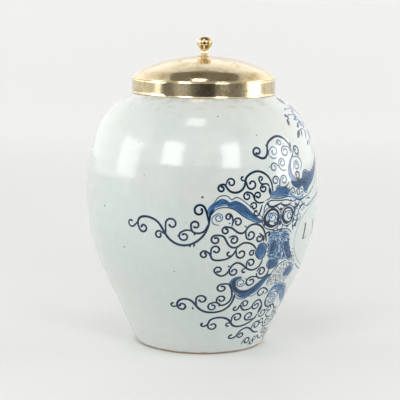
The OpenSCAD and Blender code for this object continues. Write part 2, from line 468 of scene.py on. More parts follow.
def tin_glazed_earthenware(context):
    """The pot's own material: tin glaze, with bare buff clay and a burnt brown line where it ends at the foot."""
    colours = context.scene.jar_colours
    material, tree, shader = new_material("tin_glazed_earthenware")
    glaze, gloss, skin = glaze_surface(tree, colours)
    place = add(tree, "TexCoord").outputs["Object"]
    height = add(tree, "SeparateXYZ", {0: place}).outputs["Z"]
    ragged = add(tree, "TexNoise", {"Vector": place, "Scale": per(8), "Detail": 3.0})
    raised = add(tree, "Math", {0: ragged, 1: -2.2 * MM, 2: height}, operation="MULTIPLY_ADD")
    bare = add(tree, "MapRange", {0: raised, 1: 0.0, 2: 0.5 * MM, 3: 1.0, 4: 0.0})
    burnt = add(tree, "MapRange", {0: raised, 1: 0.4 * MM, 2: 1.3 * MM, 3: 1.0, 4: 0.0})
    grit = add(tree, "TexNoise", {"Vector": place, "Scale": per(2.5), "Detail": 3.0})
    clay = mix(tree, grit, rgb(colours.clay), linear("#8f7a60"))
    edged = mix(tree, burnt, glaze, linear("#6b5a45"))
    worn = mix(tree, bare, edged, clay)
    rough = add(tree, "MapRange", {0: bare, 3: gloss, 4: 0.85})
    return glassy(material, worn, rough, skin)


def cobalt_paint(context):
    """Cobalt oxide brushed on the raw glaze and fired into it: navy to almost black where the brush was full,
    clear blue where it was thin, with streaks along the stroke and soft edges that fade into the white."""
    colours = context.scene.jar_colours
    material, tree, (glaze, gloss, skin), ink, place = paint_in_glaze(context, "cobalt_paint")
    depth = add(tree, "Attribute", attribute_name="depth").outputs["Fac"]
    brush = add(tree, "UVMap", uv_map="brush")
    drawn_out = add(tree, "Mapping", {"Vector": brush, "Scale": (0.5, 0.07, 1.0)})
    streaks = add(tree, "TexNoise", {"Vector": drawn_out, "Scale": 1.0, "Detail": 3.0, "Roughness": 0.6})
    pools = add(tree, "TexNoise", {"Vector": place, "Scale": per(7), "Detail": 2.0})
    streak_tone = add(tree, "MapRange", {0: streaks, 1: 0.3, 2: 0.7, 3: -0.2, 4: 0.2})
    pool_tone = add(tree, "MapRange", {0: pools, 1: 0.3, 2: 0.7, 3: -0.07, 4: 0.07})
    full = add(tree, "MapRange", {0: ink, 3: 0.4, 4: 1.0})
    laid = add(tree, "Math", {0: depth, 1: full}, operation="MULTIPLY")
    streaked = add(tree, "Math", {0: laid, 1: streak_tone}, operation="ADD")
    tone = add(tree, "Math", {0: streaked, 1: pool_tone}, operation="ADD")
    shades = [(0.0, linear("#a9bccb")), (0.22, rgb(colours.cobalt_pale)), (0.5, rgb(colours.cobalt_mid)),
              (0.8, rgb(colours.cobalt_deep)), (1.0, rgb(colours.cobalt_black))]
    blue = add(tree, "ValToRGB", {0: tone}, stops=shades)
    cover = add(tree, "MapRange", {0: ink, 2: 0.5})
    painted = mix(tree, cover, glaze, blue)
    return glassy(material, painted, gloss, skin)


def kiln_iron(context):
    """Specks of iron that fell on the glaze in the kiln: greenish black, melted flush and softly edged."""
    material, tree, (glaze, gloss, skin), ink, place = paint_in_glaze(context, "kiln_iron")
    blotch = add(tree, "TexNoise", {"Vector": place, "Scale": per(0.8), "Detail": 2.0})
    dark = mix(tree, blotch, linear("#1d2b20"), linear("#5a6650"))
    return glassy(material, mix(tree, ink, glaze, dark), gloss, skin)


def manganese_lettering(context):
    """The numeral's paint: manganese with a little cobalt, a grey brown that is nearly black where it is thick."""
    material, tree, (glaze, gloss, skin), ink, place = paint_in_glaze(context, "manganese_lettering")
    pools = add(tree, "TexNoise", {"Vector": place, "Scale": per(3), "Detail": 3.0})
    brown = mix(tree, pools, linear("#23211f"), linear("#4d4a48"))
    return glassy(material, mix(tree, ink, glaze, brown), gloss, skin)


def polished_brass(name, colour, dull, dent_size, dent_depth, pitting, spun):
    """Brass polished by hand long ago. The eye gets a warm mirror that is softened by fine wiping marks, bent by
    shallow dents, and browned in patches where fingers and damp have touched it. A spun piece also has the
    faint rings of its spinning."""
    material, tree, shader = new_material(name)
    place = add(tree, "TexCoord").outputs["Object"]
    tarnish = add(tree, "TexNoise", {"Vector": place, "Scale": per(16), "Detail": 5.0, "Roughness": 0.65})
    patch = add(tree, "MapRange", {0: tarnish, 1: 0.5, 2: 0.72})
    spots = add(tree, "TexVoronoi", {"Vector": place, "Scale": per(11)})
    spot = add(tree, "MapRange", {0: spots.outputs["Distance"], 1: 0.03, 2: 0.09, 3: 0.7, 4: 0.0})
    browned = mix(tree, patch, colour, dull)
    spotted = mix(tree, spot, browned, linear("#8a6c3c"))
    wiped = add(tree, "Mapping", {"Vector": place, "Scale": (1.0, 1.0, 9.0)})
    scratches = add(tree, "TexNoise", {"Vector": wiped, "Scale": per(5), "Detail": 4.0})
    pits = add(tree, "TexNoise", {"Vector": place, "Scale": per(2.2), "Detail": 4.0, "Roughness": 0.75})
    pitted = add(tree, "MapRange", {0: pits, 1: 0.56, 2: 0.68, 3: 0.0, 4: pitting})
    spotted = mix(tree, pitted, spotted, linear("#4c3d22"))
    rough = add(tree, "MapRange", {0: scratches, 1: 0.3, 2: 0.75, 3: 0.07, 4: 0.2})
    rougher = add(tree, "Math", {0: patch, 1: 0.1, 2: rough}, operation="MULTIPLY_ADD")
    dents = add(tree, "TexNoise", {"Vector": place, "Scale": per(dent_size), "Detail": 1.5})
    beaten = add(tree, "Bump", {"Height": dents, "Distance": dent_depth * MM, "Strength": 1.0})
    surface = add(tree, "Bump", {"Height": scratches, "Distance": 0.004 * MM,
                                           "Strength": 0.5, "Normal": beaten})
    if spun:
        rings = add(tree, "TexWave", {"Vector": place, "Scale": per(3) / 20, "Distortion": 1.5},
                    wave_type="RINGS", rings_direction="Z")
        surface = add(tree, "Bump", {"Height": rings.outputs[1], "Distance": 0.003 * MM,
                                               "Strength": 0.5, "Normal": surface})
    wire(tree, shader, {"Base Color": spotted, "Roughness": rougher, "Normal": surface, "Metallic": 1.0})
    return material


def soft_solder(context):
    """Tin-lead solder wiped with a hot iron: a dull grey metal with a lumpy, frosted skin."""
    material, tree, shader = new_material("soft_solder")
    place = add(tree, "TexCoord").outputs["Object"]
    frost = add(tree, "TexNoise", {"Vector": place, "Scale": per(2.2), "Detail": 4.0})
    grey = mix(tree, frost, rgb(context.scene.jar_colours.solder), linear("#5f5e58"))
    lumps = add(tree, "Bump", {"Height": frost, "Distance": 0.15 * MM, "Strength": 0.7})
    wire(tree, shader, {"Base Color": grey, "Normal": lumps, "Metallic": 1.0, "Roughness": 0.48})
    return material


def sheet_brass(context):
    """The lid's sheet brass: paler, with long shallow waves from the hammer."""
    colours = context.scene.jar_colours
    return polished_brass("sheet_brass", rgb(colours.brass_sheet), linear("#b79a5e"), 26, 0.11, 0.3, spun=True)


def band_brass(context):
    """The band's brass: the dome's, but more worn, since hands pull the lid off by it."""
    colours = context.scene.jar_colours
    return polished_brass("band_brass", rgb(colours.brass_sheet), linear("#9c8352"), 15, 0.1, 0.8, spun=False)


def turned_brass(context):
    """The knob's cast and turned brass: yellower and cleaner."""
    colours = context.scene.jar_colours
    return polished_brass("turned_brass", rgb(colours.brass_turned), linear("#a8873f"), 6, 0.04, 0.15,
                          spun=False)


def kept(make, context):
    """A material made once and found again by its name."""
    return bpy.data.materials.get(make.__name__) or make(context)


# ---------------------------------------------------------------- the pot and the lid

def finish_piece(piece, body, slot, *nodes):
    """Makes a piece ride on its body and hides the CAD nodes that it stands for."""
    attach(piece, body)
    if nodes:
        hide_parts(*nodes)


def pot_outline(wall):
    """The pot's section from the middle of its base, under the foot ring, up the outside, over the rounded rim
    and down the inside to the middle of the floor."""
    pot = wall.pot
    lip = pot.neck_wall / 2
    mouth = pot.neck_radius - pot.neck_wall
    ring = pot.foot_radius - pot.foot_ring
    radius, height, facing = wall.section(np.arange(pot.foot_round * 1.2, wall.starts[-1], 1.25))
    outside = np.stack([radius, height], -1)
    inner_end = wall.starts[-1] + 4.3
    radius, height, facing = wall.section(np.arange(inner_end, 14, -2.4))
    inside = np.stack([radius - pot.wall * np.cos(facing), height - pot.wall * np.sin(facing)], -1)
    corner = 5.0
    return join(
        line((0, pot.base_hollow), (ring - 1.5, pot.base_hollow), 6),
        line((ring - 1.0, pot.base_hollow), (ring, 0.3), 0.7),
        line((ring + 0.4, 0), (pot.foot_radius - pot.foot_round, 0), 2.5),
        arc((pot.foot_radius - pot.foot_round + 0.25, pot.foot_round), pot.foot_round, -90, -25, 6)[1:],
        outside,
        arc((pot.neck_radius + 1.2, wall.section(wall.starts[-1])[1] + 1.0), 1.2, 250, 180, 5),
        line((pot.neck_radius, wall.section(wall.starts[-1])[1] + 1.6), (pot.neck_radius, pot.rim_height - lip), 2),
        arc((pot.neck_radius - lip, pot.rim_height - lip), lip, 0, 180, 14),
        line((mouth, pot.rim_height - lip), (mouth, inside[0, 1] + 1), 2),
        inside,
        arc((inside[-1, 0] - corner - 0.5, pot.floor + corner), corner, -25, -90, 6),
        line((inside[-1, 0] - corner - 2, pot.floor), (0, pot.floor), 6),
    )


class JAR_OT_pot(bpy.types.Operator):
    """Throws and glazes the pot"""
    bl_idname = "jar.pot"
    bl_label = "Pot"

    def execute(self, context):
        wall = the_wall(context)
        outline = pot_outline(wall)
        rim = wall.pot.rim_height

        def warp(angle, radius, height):
            """Moves each point outwards by the thrown wall's own unevenness at its height."""
            runs = np.arange(0, wall.starts[-1], 1.0)
            run = np.interp(height, wall.section(runs)[1], runs)
            low = np.clip(height / 12, 0, 1)
            facing = wall.section(run)[2]
            off = wall.thrown(angle, run) * low * (height < rim)
            return radius + off * np.cos(facing), height + off * np.sin(facing)

        pot = revolve("glazed_pot", outline, 256, kept(tin_glazed_earthenware, context), warp)
        finish_piece(pot, "jar", "tin_glaze", "pot")
        return {"FINISHED"}


LEAN_ANGLE = -7             # the side on which the leaning dome stands highest


def lean_rise(lid, angle, radius):
    """How far the leaning dome's edge is raised: the lean by the distance towards its high side."""
    return lid.lean * radius * np.cos(np.radians(angle - LEAN_ANGLE))


def dome_arcs(lid):
    """The centres and radii of the dome's haunch and crown. The crown's centre is on the axis, and its arc runs
    smoothly into the haunch's, so the distance between the two centres is the difference of their radii."""
    edge = lid.band_radius - lid.band_flare + lid.dome_lap
    haunch = (edge - lid.haunch * math.cos(lid.haunch_facing),
              lid.joint - lid.haunch * math.sin(lid.haunch_facing))
    drop = lid.crown - haunch[1]
    bend = (haunch[0] ** 2 + drop ** 2 - lid.haunch ** 2) / (2 * (drop - lid.haunch))
    return edge, haunch, bend, (0, lid.crown - bend)


class JAR_OT_dome(bpy.types.Operator):
    """Raises the dome of the lid, with its rolled edge"""
    bl_idname = "jar.dome"
    bl_label = "Dome"

    def execute(self, context):
        lid = millimetres(context.scene.jar_lid)
        edge, haunch, bend, centre = dome_arcs(lid)
        hole = lid.stud_radius + 0.2
        roll = arc((edge - lid.roll / 2, lid.joint + lid.roll / 2), lid.roll, -30, 78, 9)
        touch = math.degrees(math.atan2(haunch[1] - centre[1], haunch[0]))
        start = math.degrees(lid.haunch_facing) + 3.5
        end = math.degrees(math.acos(hole / bend))
        inner = math.degrees(math.asin((lid.joint + 0.02 - haunch[1]) / (lid.haunch - lid.sheet)))
        outline = join(
            [(edge - 1.1, lid.joint + 0.02), (edge - 0.3, lid.joint + 0.02)],
            roll,
            arc(haunch, lid.haunch, start, touch, 14),
            arc(centre, bend, touch, end, 46)[1:],
            arc(centre, bend - lid.sheet, end, touch, 40),
            arc(haunch, lid.haunch - lid.sheet, touch, inner, 12)[1:],
        )

        def planished(angle, radius, height):
            """The hammer's long waves: a sine of the angle and the radius, a tenth of a millimetre high, that
            dies out at the edge and the middle. The whole dome leans a little too."""
            swing = np.radians(angle)
            share = np.clip(radius / edge, 0, 1)
            wave = np.sin(2 * swing + 0.5) + 0.5 * np.sin(3 * swing + 7 * share)
            return radius, height + 0.12 * wave * np.sin(math.pi * share) ** 2 + lean_rise(lid, angle, radius)

        dome = revolve("brass_dome", outline, 240, kept(sheet_brass, context), planished, sharp=40)
        finish_piece(dome, "lid", "brass", "lid_dome")
        return {"FINISHED"}


SEAM_ANGLE = 172


class JAR_OT_band(bpy.types.Operator):
    """Bends the band of the lid, lapped and soldered at the back"""
    bl_idname = "jar.band"
    bl_label = "Band"

    def execute(self, context):
        lid = millimetres(context.scene.jar_lid)
        depth = lid.joint - lid.band_foot
        share = np.concatenate([np.linspace(0, 0.16, 8), np.linspace(0.2, 0.8, 9), np.linspace(0.84, 1, 8)])
        top = lid.band_radius - lid.band_flare
        # a spread foot, a nearly straight middle and a head that is rounded in under the dome
        spread = 0.36 * np.exp(-share / 0.07) + (lid.band_flare - 0.36) * (1 - share)
        head = -0.3 * np.clip((share - 0.84) / 0.16, 0, 1) ** 2
        outer = np.stack([top + spread + head, lid.band_foot + share * depth], -1)
        inner = np.stack([top - lid.sheet + (lid.band_flare * (1 - share))[::-1], outer[::-1, 1]], -1)
        outline = join(outer, inner)

        def bent(angle, radius, height):
            """Hand-bent: slow sines of the angle, and a step at the seam where the outer end lies over the inner
            one, which dies away in forty degrees."""
            swing = np.radians(angle)
            past = (angle - SEAM_ANGLE) % 360
            lap = lid.seam_lap * np.clip(1 - past / 40, 0, 1) ** 2
            outside = radius > np.interp(height, outer[:, 1], outer[:, 0]) - lid.sheet / 2
            wave = 0.07 * np.sin(3 * swing + 1) + 0.05 * np.sin(7 * swing + height / 9)
            rise = lean_rise(lid, angle, radius) * (height - lid.band_foot) / depth
            return radius + np.where(outside, lap + wave, wave * 0.5), height + rise

        band = revolve("brass_band", outline, 360, kept(band_brass, context), bent, sharp=50)
        finish_piece(band, "lid", "brass", "lid_band")
        return {"FINISHED"}


class JAR_OT_solder(bpy.types.Operator):
    """Runs the solder round the inside corner of band and dome"""
    bl_idname = "jar.solder"
    bl_label = "Solder"

    def execute(self, context):
        lid = millimetres(context.scene.jar_lid)
        corner = lid.band_radius - lid.band_flare - lid.sheet
        leg = lid.solder_leg
        face = arc((corner - leg, lid.joint - leg), leg * 0.93, 4, 86, 7)
        outline = join([(corner, lid.joint)], [(corner - leg, lid.joint)], face[::-1], [(corner, lid.joint - leg)])

        def lumpy(angle, radius, height):
            """Runs and lumps left by the iron: sines of the angle that swell the fillet's face."""
            swing = np.radians(angle)
            swell = 0.12 * np.sin(23 * swing) + 0.1 * np.sin(41 * swing + 2)
            free = (radius < corner - 0.05) & (height < lid.joint - 0.05)
            rise = lean_rise(lid, angle, radius)
            return radius - np.where(free, swell, 0), height - np.where(free, swell, 0) + rise

        solder = revolve("solder_run", outline[::-1], 360, kept(soft_solder, context), lumpy)
        finish_piece(solder, "lid", "solder", "lid_solder_fillet")
        return {"FINISHED"}


class JAR_OT_knob(bpy.types.Operator):
    """Turns the pear-shaped knob"""
    bl_idname = "jar.knob"
    bl_label = "Knob"

    def execute(self, context):
        lid = millimetres(context.scene.jar_lid)
        head = (lid.knob_radius - lid.knob_round, lid.knob_top - lid.knob_round)
        draw = (lid.knob_neck_radius - head[0], lid.knob_neck - head[1])
        touch = math.degrees(math.atan2(draw[1], draw[0]) + math.acos(lid.knob_round / math.hypot(*draw)))
        foot_top = lid.crown + lid.knob_foot_edge
        sweep = lid.knob_neck - foot_top
        hollow = arc((lid.knob_neck_radius + sweep, lid.knob_neck), sweep, 270, 182, 14)
        neck = arc(head, lid.knob_round, touch, touch + 1, 2)[:1]
        waist = line((lid.knob_neck_radius, lid.knob_neck + 0.3), tuple(neck[0]), 0.6)
        edge_z = lid.crown - 0.18
        outline = join(
            [(0, lid.crown - 0.05), (3.5, lid.crown - 0.08), (lid.knob_foot_radius - 0.25, edge_z)],
            arc((lid.knob_foot_radius - 0.35, (edge_z + foot_top) / 2), 0.42, -75, 75, 7),
            hollow[hollow[:, 0] < lid.knob_foot_radius - 0.35],
            waist,
            arc(head, lid.knob_round, touch, 90, 30),
            [(0, lid.knob_top)],
        )
        knob = revolve("brass_knob", outline, 72, kept(turned_brass, context), sharp=60)
        finish_piece(knob, "lid", "brass", "finial_knob")
        return {"FINISHED"}


class JAR_OT_fixing(bpy.types.Operator):
    """Fits the knob's threaded stud, the washer and the square nut under the dome"""
    bl_idname = "jar.fixing"
    bl_label = "Stud, washer and nut"

    def execute(self, context):
        lid = millimetres(context.scene.jar_lid)
        brass = kept(turned_brass, context)
        low, high = STUD_LOW.z / MM, STUD_HIGH.z / MM
        heights = np.arange(low + 0.3, high, lid.thread_pitch / 6)
        stud_outline = join([(0, low)], [(lid.stud_radius * 0.75, low)],
                            np.stack([np.full(len(heights), lid.stud_radius), heights], -1),
                            [(lid.stud_radius * 0.75, high)], [(0, high)])

        def thread(angle, radius, height):
            """A V thread: the radius drops by how far the turn, which climbs one pitch a round, is from a crest."""
            turn = (height / lid.thread_pitch - angle / 360) % 1
            valley = 1 - 2 * np.abs(turn - 0.5)
            return np.where(radius > lid.stud_radius * 0.8, radius - 0.3 * valley, radius), height

        stud = revolve("threaded_stud", stud_outline, 32, brass, thread)
        finish_piece(stud, "lid", "brass", "finial_stud")

        washer_low, washer_high, reach = WASHER_LOW.z / MM, WASHER_HIGH.z / MM, WASHER_HIGH.x / MM
        hole = lid.stud_radius + 0.2
        washer_outline = join([(hole, washer_low)], [(reach - 0.3, washer_low)],
                              arc((reach - 0.3, washer_low + 0.3), 0.3, -80, 0, 4),
                              arc((reach - 0.3, washer_high - 0.3), 0.3, 0, 80, 4), [(hole, washer_high)])
        washer = revolve("brass_washer", washer_outline, 64, brass, sharp=50)
        finish_piece(washer, "lid", "brass", "finial_washer")

        nut_low, nut_high, half = NUT_LOW.z / MM, NUT_HIGH.z / MM, NUT_HIGH.x / MM
        chamfer = 0.45
        nut_outline = [(lid.stud_radius, nut_low), (half - chamfer, nut_low), (half, nut_low + chamfer),
                       (half, nut_high - chamfer), (half - chamfer, nut_high), (lid.stud_radius, nut_high)]

        def square(angle, radius, height):
            """A square with eased corners: the radius grows by the power mean of the angle's sine and cosine."""
            swing = np.radians(angle)
            reach = (np.abs(np.cos(swing)) ** 16 + np.abs(np.sin(swing)) ** 16) ** (-1 / 16)
            return np.where(radius > lid.stud_radius + 0.01, radius * reach, radius), height

        nut = revolve("square_nut", nut_outline, 96, brass, square, sharp=35)
        finish_piece(nut, "lid", "brass", "finial_nut")
        return {"FINISHED"}


# ---------------------------------------------------------------- brush strokes

def natural_spline(points, step):
    """A natural cubic spline through points by the distance between them, with points about a step apart. Its
    bends (second derivatives) solve the usual three-term equations and are nought at both ends."""
    gaps = np.hypot(*np.diff(points, axis=0).T)
    along = np.r_[0, np.cumsum(gaps)]
    count = len(points)
    rows = np.eye(count)
    slopes = np.diff(points, axis=0) / gaps[:, None]
    target = np.zeros((count, 2))
    inner = np.arange(1, count - 1)      # two points leave none, and the curve is straight
    rows[inner, inner - 1] = gaps[:-1]
    rows[inner, inner] = 2 * (gaps[:-1] + gaps[1:])
    rows[inner, inner + 1] = gaps[1:]
    target[1:-1] = 6 * np.diff(slopes, axis=0)
    bends = np.linalg.solve(rows, target)
    t = np.linspace(0, along[-1], max(2, int(along[-1] / step) + 1))
    k = np.clip(np.searchsorted(along, t, side="right") - 1, 0, count - 2)
    after, before, gap = (along[k + 1] - t)[:, None], (t - along[k])[:, None], gaps[k][:, None]
    return ((bends[k] * after ** 3 + bends[k + 1] * before ** 3) / (6 * gap)
            + (points[k] / gap - bends[k] * gap / 6) * after
            + (points[k + 1] / gap - bends[k + 1] * gap / 6) * before)


CURL_EYE = 0.3          # the last radius of a curl as a share of its first


def curl(start, centre, radius, turns):
    """A curl's points from where a straight line from start just touches its circle, winding in about the centre:
    the angle grows evenly by the turns, and the radius falls slowly at first and then faster."""
    away = start - centre
    reach = np.hypot(*away)
    first = min(radius, reach * 0.995)
    touch = math.atan2(away[1], away[0]) + math.copysign(math.acos(first / reach), turns)
    share = np.linspace(0, 1, int(abs(turns) * 12) + 2)
    shrinking = first * (1 - (1 - CURL_EYE) * share ** 1.4)
    swing = touch + 2 * math.pi * turns * share
    return centre + shrinking[:, None] * np.stack([np.cos(swing), np.sin(swing)], -1)


def brush_path(items, degree, step=0.5):
    """The path of a stroke in flat millimetres. An item (angle, run) is a point, and an item
    (angle, run, radius, turns) at either end is a curl, anticlockwise if turns are more than nought."""
    flat = [np.array([item[0] * degree, item[1]]) for item in items]
    points = [flat[k][None, :] for k in range(len(items)) if len(items[k]) == 2]
    if len(items[0]) == 4:
        points.insert(0, curl(flat[1], flat[0], *items[0][2:])[::-1])
    if len(items[-1]) == 4:
        points.append(curl(flat[-2], flat[-1], *items[-1][2:]))
    return natural_spline(np.concatenate(points), step)


def swell_line(along, total, start_curl, end_curl):
    """Width along a line: it thins at an open end as the brush lifts, is fullest in the middle, and ends a curl in
    a round drop."""
    width = 0.9 + 0.16 * np.sin(math.pi * along / total)
    for gap, is_curl in ((along, start_curl), (total - along, end_curl)):
        if is_curl:
            width = width * (1 + 0.6 * np.exp(-((gap - 0.9) / 0.9) ** 2))
            width = width * np.sqrt(np.clip(1 - (1 - gap / 0.9) ** 2 * (gap < 0.9), 0.02, 1))
        else:
            width = width * (0.45 + 0.55 * np.clip(gap / 3, 0, 1))
    return width


def swell_leaf(along, total, start_curl, end_curl):
    """Width along a pressed stroke: nought at both ends and fullest at two fifths, like a petal."""
    share = np.clip(along / total, 0, 1)
    return np.sin(math.pi * share ** 0.8) ** 0.8 + 0.03


def swell_pen(along, total, start_curl, end_curl):
    """Width along a stroke of even width with eased ends."""
    return 0.75 + 0.25 * np.clip(np.minimum(along, total - along) / 0.6, 0, 1)


def eased(share):
    """A share from 0 to 1 that starts and ends level: three times its square less twice its cube."""
    return share * share * (3 - 2 * share)


class Painting:
    """Grids of points on the wall that become one mesh, with the ink and depth of the paint and the way of the
    brush at each point. A side of 1 is set out from the side line as the tables say, and -1 is its mirror image
    about the front."""

    def __init__(self, context):
        self.wall = the_wall(context)
        self.paint = millimetres(context.scene.jar_paint)
        self.side_line = math.degrees(self.paint.side_line)
        self.context = context
        self.parts = []
        self.faces = []
        self.count = 0

    def lay(self, angle, run, ink, depth, brush, lift, side, along=False):
        """Adds a grid whose rows follow the brush and whose columns go from its left to its right."""
        shape = np.broadcast_shapes(angle.shape, run.shape)
        grid = [np.broadcast_to(v, shape) for v in (angle, run, ink, depth, *brush)]
        if side < 0:
            grid = [v[:, ::-1] for v in grid]
        angle, run, ink, depth, across, forward = grid
        turn = side * (angle - self.side_line)
        points = self.wall.place(turn, run, lift * ink - 0.004)
        normals = self.wall.normal(turn, run)
        values = np.stack([ink, depth, across, forward], -1)
        self.parts.append(np.concatenate([points, normals, values], -1).reshape(-1, 10))
        self.faces.append(grid_faces(*shape, along=along) + self.count)
        self.count += angle.size

    def stroke(self, items, width, depth=0.95, side=1, swell=swell_line, lift=None):
        """One brush stroke. Across it the ink is full in the middle and fades over the bleed at both edges."""
        middle = np.mean([item[1] for item in items])
        degree = self.wall.degree(middle)
        path = brush_path(items, degree)
        steps = np.hypot(*np.diff(path, axis=0).T)
        along = np.r_[0, np.cumsum(steps)]
        way = np.gradient(path, axis=0)
        way /= np.hypot(*way.T)[:, None]
        half = width / 2 * swell(along, along[-1], len(items[0]) == 4, len(items[-1]) == 4)
        bleed = np.minimum(self.paint.bleed, half)
        reach = (half + bleed / 2)[:, None]
        share = np.array([-1, -0.8, -0.55, 0, 0.55, 0.8, 1])[None, :]
        across = share * reach
        fade = np.clip((reach - np.abs(across)) / bleed[:, None], 0, 1)
        ink = eased(fade)
        ends = np.clip(np.minimum(along, along[-1] - along) / 0.3, 0, 1)[:, None]
        angle = (path[:, :1] + across * way[:, 1:]) / degree
        run = path[:, 1:] - across * way[:, :1]
        tone = depth + 0.06 * np.sin(along / 7 + items[0][0])[:, None]
        self.lay(angle, run, ink * ends, tone, (across, along[:, None] + 40 * depth), lift or self.paint.ink_lift,
                 side)

    def wash(self, left, right, depth, side=1, shade=0.12, columns=14, step=0.8):
        """A field of thin paint between the curves through two lists of points, which both run the brush's way.
        Its ink fades at the edges, and it is darker towards its left edge by shade."""
        middle = np.mean([p[1] for p in left + right])
        degree = self.wall.degree(middle)
        scale = np.array([degree, 1.0])
        edges = [natural_spline(np.array(side_points, float) * scale, 0.5) for side_points in (left, right)]
        rows = max(4, int(max(len(e) for e in edges) * 0.5 / step))
        even = [np.stack([np.interp(np.linspace(0, 1, rows), np.linspace(0, 1, len(e)), e[:, k]) for k in (0, 1)],
                         -1) for e in edges]
        share = np.linspace(0, 1, columns)[None, :]
        flat = even[0][:, None, :] * (1 - share[..., None]) + even[1][:, None, :] * share[..., None]
        span = np.hypot(*np.moveaxis(even[1] - even[0], -1, 0))[:, None]
        along = np.r_[0, np.cumsum(np.hypot(*np.diff(even[0], axis=0).T))][:, None]
        gap = np.minimum(np.minimum(share, 1 - share) * span, np.minimum(along, along[-1] - along) + 0.3)
        fade = np.clip(gap / 0.7, 0, 1)
        ink = eased(fade)
        tone = depth + shade * (0.5 - share) * 2
        grid = [flat[..., 0] / degree, flat[..., 1], ink, tone, share * span, along]
        forward, across = np.diff(even[0], axis=0), (even[1] - even[0])[:-1]
        if np.sum(forward[:, 0] * across[:, 1] - forward[:, 1] * across[:, 0]) > 0:
            grid = [values[:, ::-1] for values in grid]
        self.lay(*grid[:4], grid[4:], self.paint.wash_lift, side)

    def ring(self, centre, radius, width, depth=0.95, side=1):
        """A closed round line: the centre plus the radius by the turn's cosine and sine."""
        degree = self.wall.degree(centre[1])
        turn = np.radians(ring_angles(48))[:, None]
        reach = width / 2 + self.paint.bleed / 2
        share = np.array([-1, -0.8, -0.55, 0, 0.55, 0.8, 1])[None, :]
        fade = np.clip((1 - np.abs(share)) * reach / self.paint.bleed, 0, 1)
        ink = eased(fade)
        far = radius + share * reach + 0.15 * np.sin(3 * turn + centre[0])
        angle = centre[0] + far * np.cos(turn) / degree
        run = centre[1] + far * np.sin(turn)
        tone = depth + 0.05 * np.sin(2 * turn + centre[1])
        self.lay(angle, run, ink, tone, (share * reach, turn * radius), self.paint.ink_lift, side, along=True)

    def dab(self, centre, radius, depth=0.9, side=1, squash=1.0):
        """A round touch of the brush: a disc whose ink fades at its rim."""
        degree = self.wall.degree(centre[1])
        turn = np.radians(ring_angles(20))[:, None]
        share = np.array([0.02, 0.4, 0.7, 0.85, 1.0])[None, :]
        fade = np.clip((1 - share) / 0.35, 0, 1)
        far = radius * share * (1 + 0.12 * np.sin(2 * turn + centre[0]) + 0.08 * np.sin(3 * turn + centre[1]))
        angle = centre[0] + far * np.cos(turn) / degree
        run = centre[1] + squash * far * np.sin(turn)
        self.lay(angle, run, eased(fade), depth, (far, turn * radius),
                 self.paint.ink_lift, side, along=True)

    def scribble(self, outline, spacing, width, depth, side=1, seed=1):
        """Fills an outline with small hooked touches at a spacing, each placed and turned a little by chance."""
        chance = np.random.default_rng(seed)
        ring = np.array(outline, float)
        degree = self.wall.degree(ring[:, 1].mean())
        ring[:, 0] *= degree
        low, high = ring.min(axis=0), ring.max(axis=0)
        for across in np.arange(low[0], high[0], spacing):
            for up in np.arange(low[1], high[1], spacing):
                x, y = across + chance.uniform(-0.3, 0.3) * spacing, up + chance.uniform(-0.3, 0.3) * spacing
                turn = chance.uniform(0, 2 * math.pi)
                after = np.roll(ring, -1, axis=0)
                over = (ring[:, 1] > y) != (after[:, 1] > y)
                slope = (y - ring[:, 1]) / np.where(over, after[:, 1] - ring[:, 1], 1)
                if np.sum(over & (x < ring[:, 0] + slope * (after[:, 0] - ring[:, 0]))) % 2 == 0:
                    continue
                reach = 0.42 * spacing
                hook = [(x + reach * math.cos(turn + swing), y + reach * math.sin(turn + swing))
                        for swing in (0, 1.3, 2.6, 4.0)]
                tone = depth + chance.uniform(-0.12, 0.1)
                self.stroke([(hx / degree, hy) for hx, hy in hook], width, tone, side)

    def dry(self, name, paint=None):
        """The finished piece, riding on the jar."""
        points, normals, ink, depth, brush = np.split(np.concatenate(self.parts), [3, 6, 7, 8], axis=1)
        faces = np.concatenate(self.faces)
        piece = make_piece(name, points, faces.tolist(), kept(paint or cobalt_paint, self.context), normals)
        for key, value in (("ink", ink), ("depth", depth)):
            piece.data.attributes.new(key, "FLOAT", "POINT").data.foreach_set("value", value.ravel())
        layer = piece.data.uv_layers.new(name="brush")
        layer.data.foreach_set("uv", brush[faces.ravel()].ravel())
        finish_piece(piece, "jar", "cobalt_paint")
        return piece


# ---------------------------------------------------------------- the motifs, by angle from the side line

